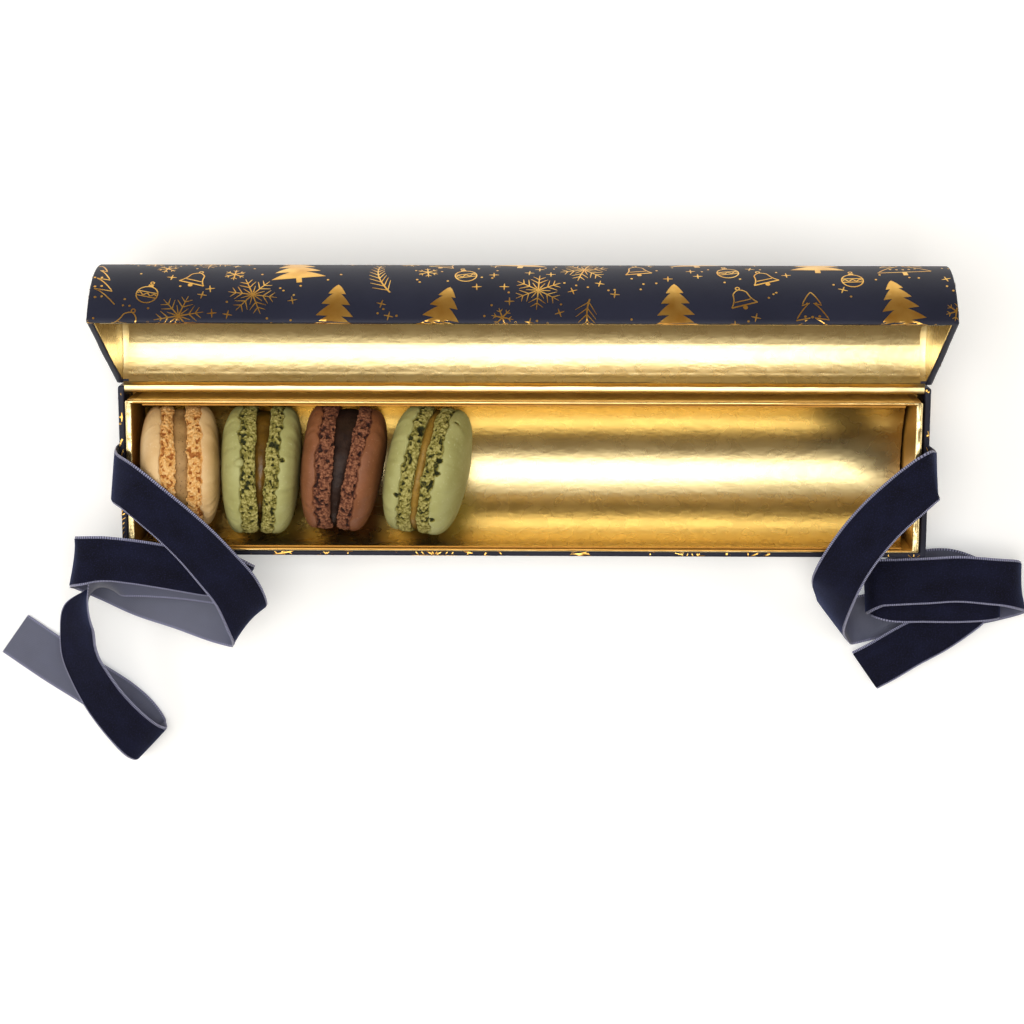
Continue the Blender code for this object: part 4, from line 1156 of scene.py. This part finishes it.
def pale_floor():
    """Matt white table board with a hint of tone."""
    made, shader, place = material("pale_floor", Roughness=0.9, Specular_IOR_Level=0.1,
                                   Emission_Color=(0.90, 0.97, 1.0, 1.0), Emission_Strength=0.26)
    colour = ramp(grain(place, 0.4), (0.3, (0.86, 0.86, 0.86, 1.0)), (0.7, (0.89, 0.89, 0.89, 1.0)))
    feed(shader, Base_Color=colour)
    return made


floor_corners = np.array([(-1, -1, 0), (1, -1, 0), (1, 1, 0), (-1, 1, 0)]) * FLOOR_SIZE / 2
floor = build("floor", floor_corners - (0.0, 0.0, FLOOR_DROP), [(0, 1, 2, 3)], [pale_floor()], weld=False)

# Each soft box faces down: its name, centre, width, depth, the degrees that it leans sideways towards the
# macarons, and its brightness as seen in a mirror
for name, centre, width, depth, lean, radiance in (
        ("ceiling_box", (-0.11, 0.175, 1.01), 0.74, 1.21, 0.0, 1.2),
        ("main_box", (0.130, 0.080, 1.00), 0.26, 0.56, 0.0, 3.9),
        ("left_box", (-0.24, 0.080, 1.00), 0.48, 0.56, 0.0, 3.0),
        ("far_left_box", (-0.95, 0.10, 0.80), 0.60, 1.30, -48.0, 2.3),
        ("far_right_box", (0.95, 0.10, 0.80), 0.50, 1.00, 48.0, 2.4)):
    light = bpy.data.lights.new(name, "AREA")
    light.shape = "RECTANGLE"
    light.size = width
    light.size_y = depth
    light.energy = radiance * math.pi * width * depth
    light.color = (1.0, 0.985, 0.96)
    item = bpy.data.objects.new(name, light)
    item.location = centre
    item.rotation_euler = (0.0, math.radians(lean), 0.0)
    bpy.context.scene.collection.objects.link(item)

world = bpy.data.worlds.new("studio")
world.use_nodes = True
dim_room = world.node_tree.nodes["Background"].outputs[0]
dim_room.node.inputs["Color"].default_value = (1.0, 0.76, 0.48, 1.0)
dim_room.node.inputs["Strength"].default_value = 0.21
pale_wall = node(dim_room, "Background", {"Color": (0.80, 0.80, 0.79, 1.0)})[0]
seen = node(dim_room, "LightPath")["Is Camera Ray"]
backdrop = node(dim_room, "MixShader", {0: seen, 1: dim_room, 2: pale_wall})[0]
world.node_tree.links.new(backdrop, world.node_tree.nodes["World Output"].inputs["Surface"])
bpy.context.scene.world = world
bpy.context.scene.view_settings.view_transform = "Standard"

CAMERA_PLACE = (0.010695, 0.154098, 0.87758)
CAMERA_TILT, CAMERA_PAN, CAMERA_ROLL = (math.radians(angle) for angle in (11.238, 0.971, 0.22))
lens = bpy.data.cameras.new("camera")
lens.lens = 85.92
lens.sensor_width = 36.0
lens.clip_start = 0.02
camera = bpy.data.objects.new("camera", lens)
turn = Matrix.Rotation(-CAMERA_TILT, 4, "X")
turn @= Matrix.Rotation(CAMERA_PAN, 4, "Y") @ Matrix.Rotation(CAMERA_ROLL, 4, "Z")
camera.matrix_world = Matrix.Translation(CAMERA_PLACE) @ turn
bpy.context.scene.collection.objects.link(camera)
bpy.context.scene.camera = camera
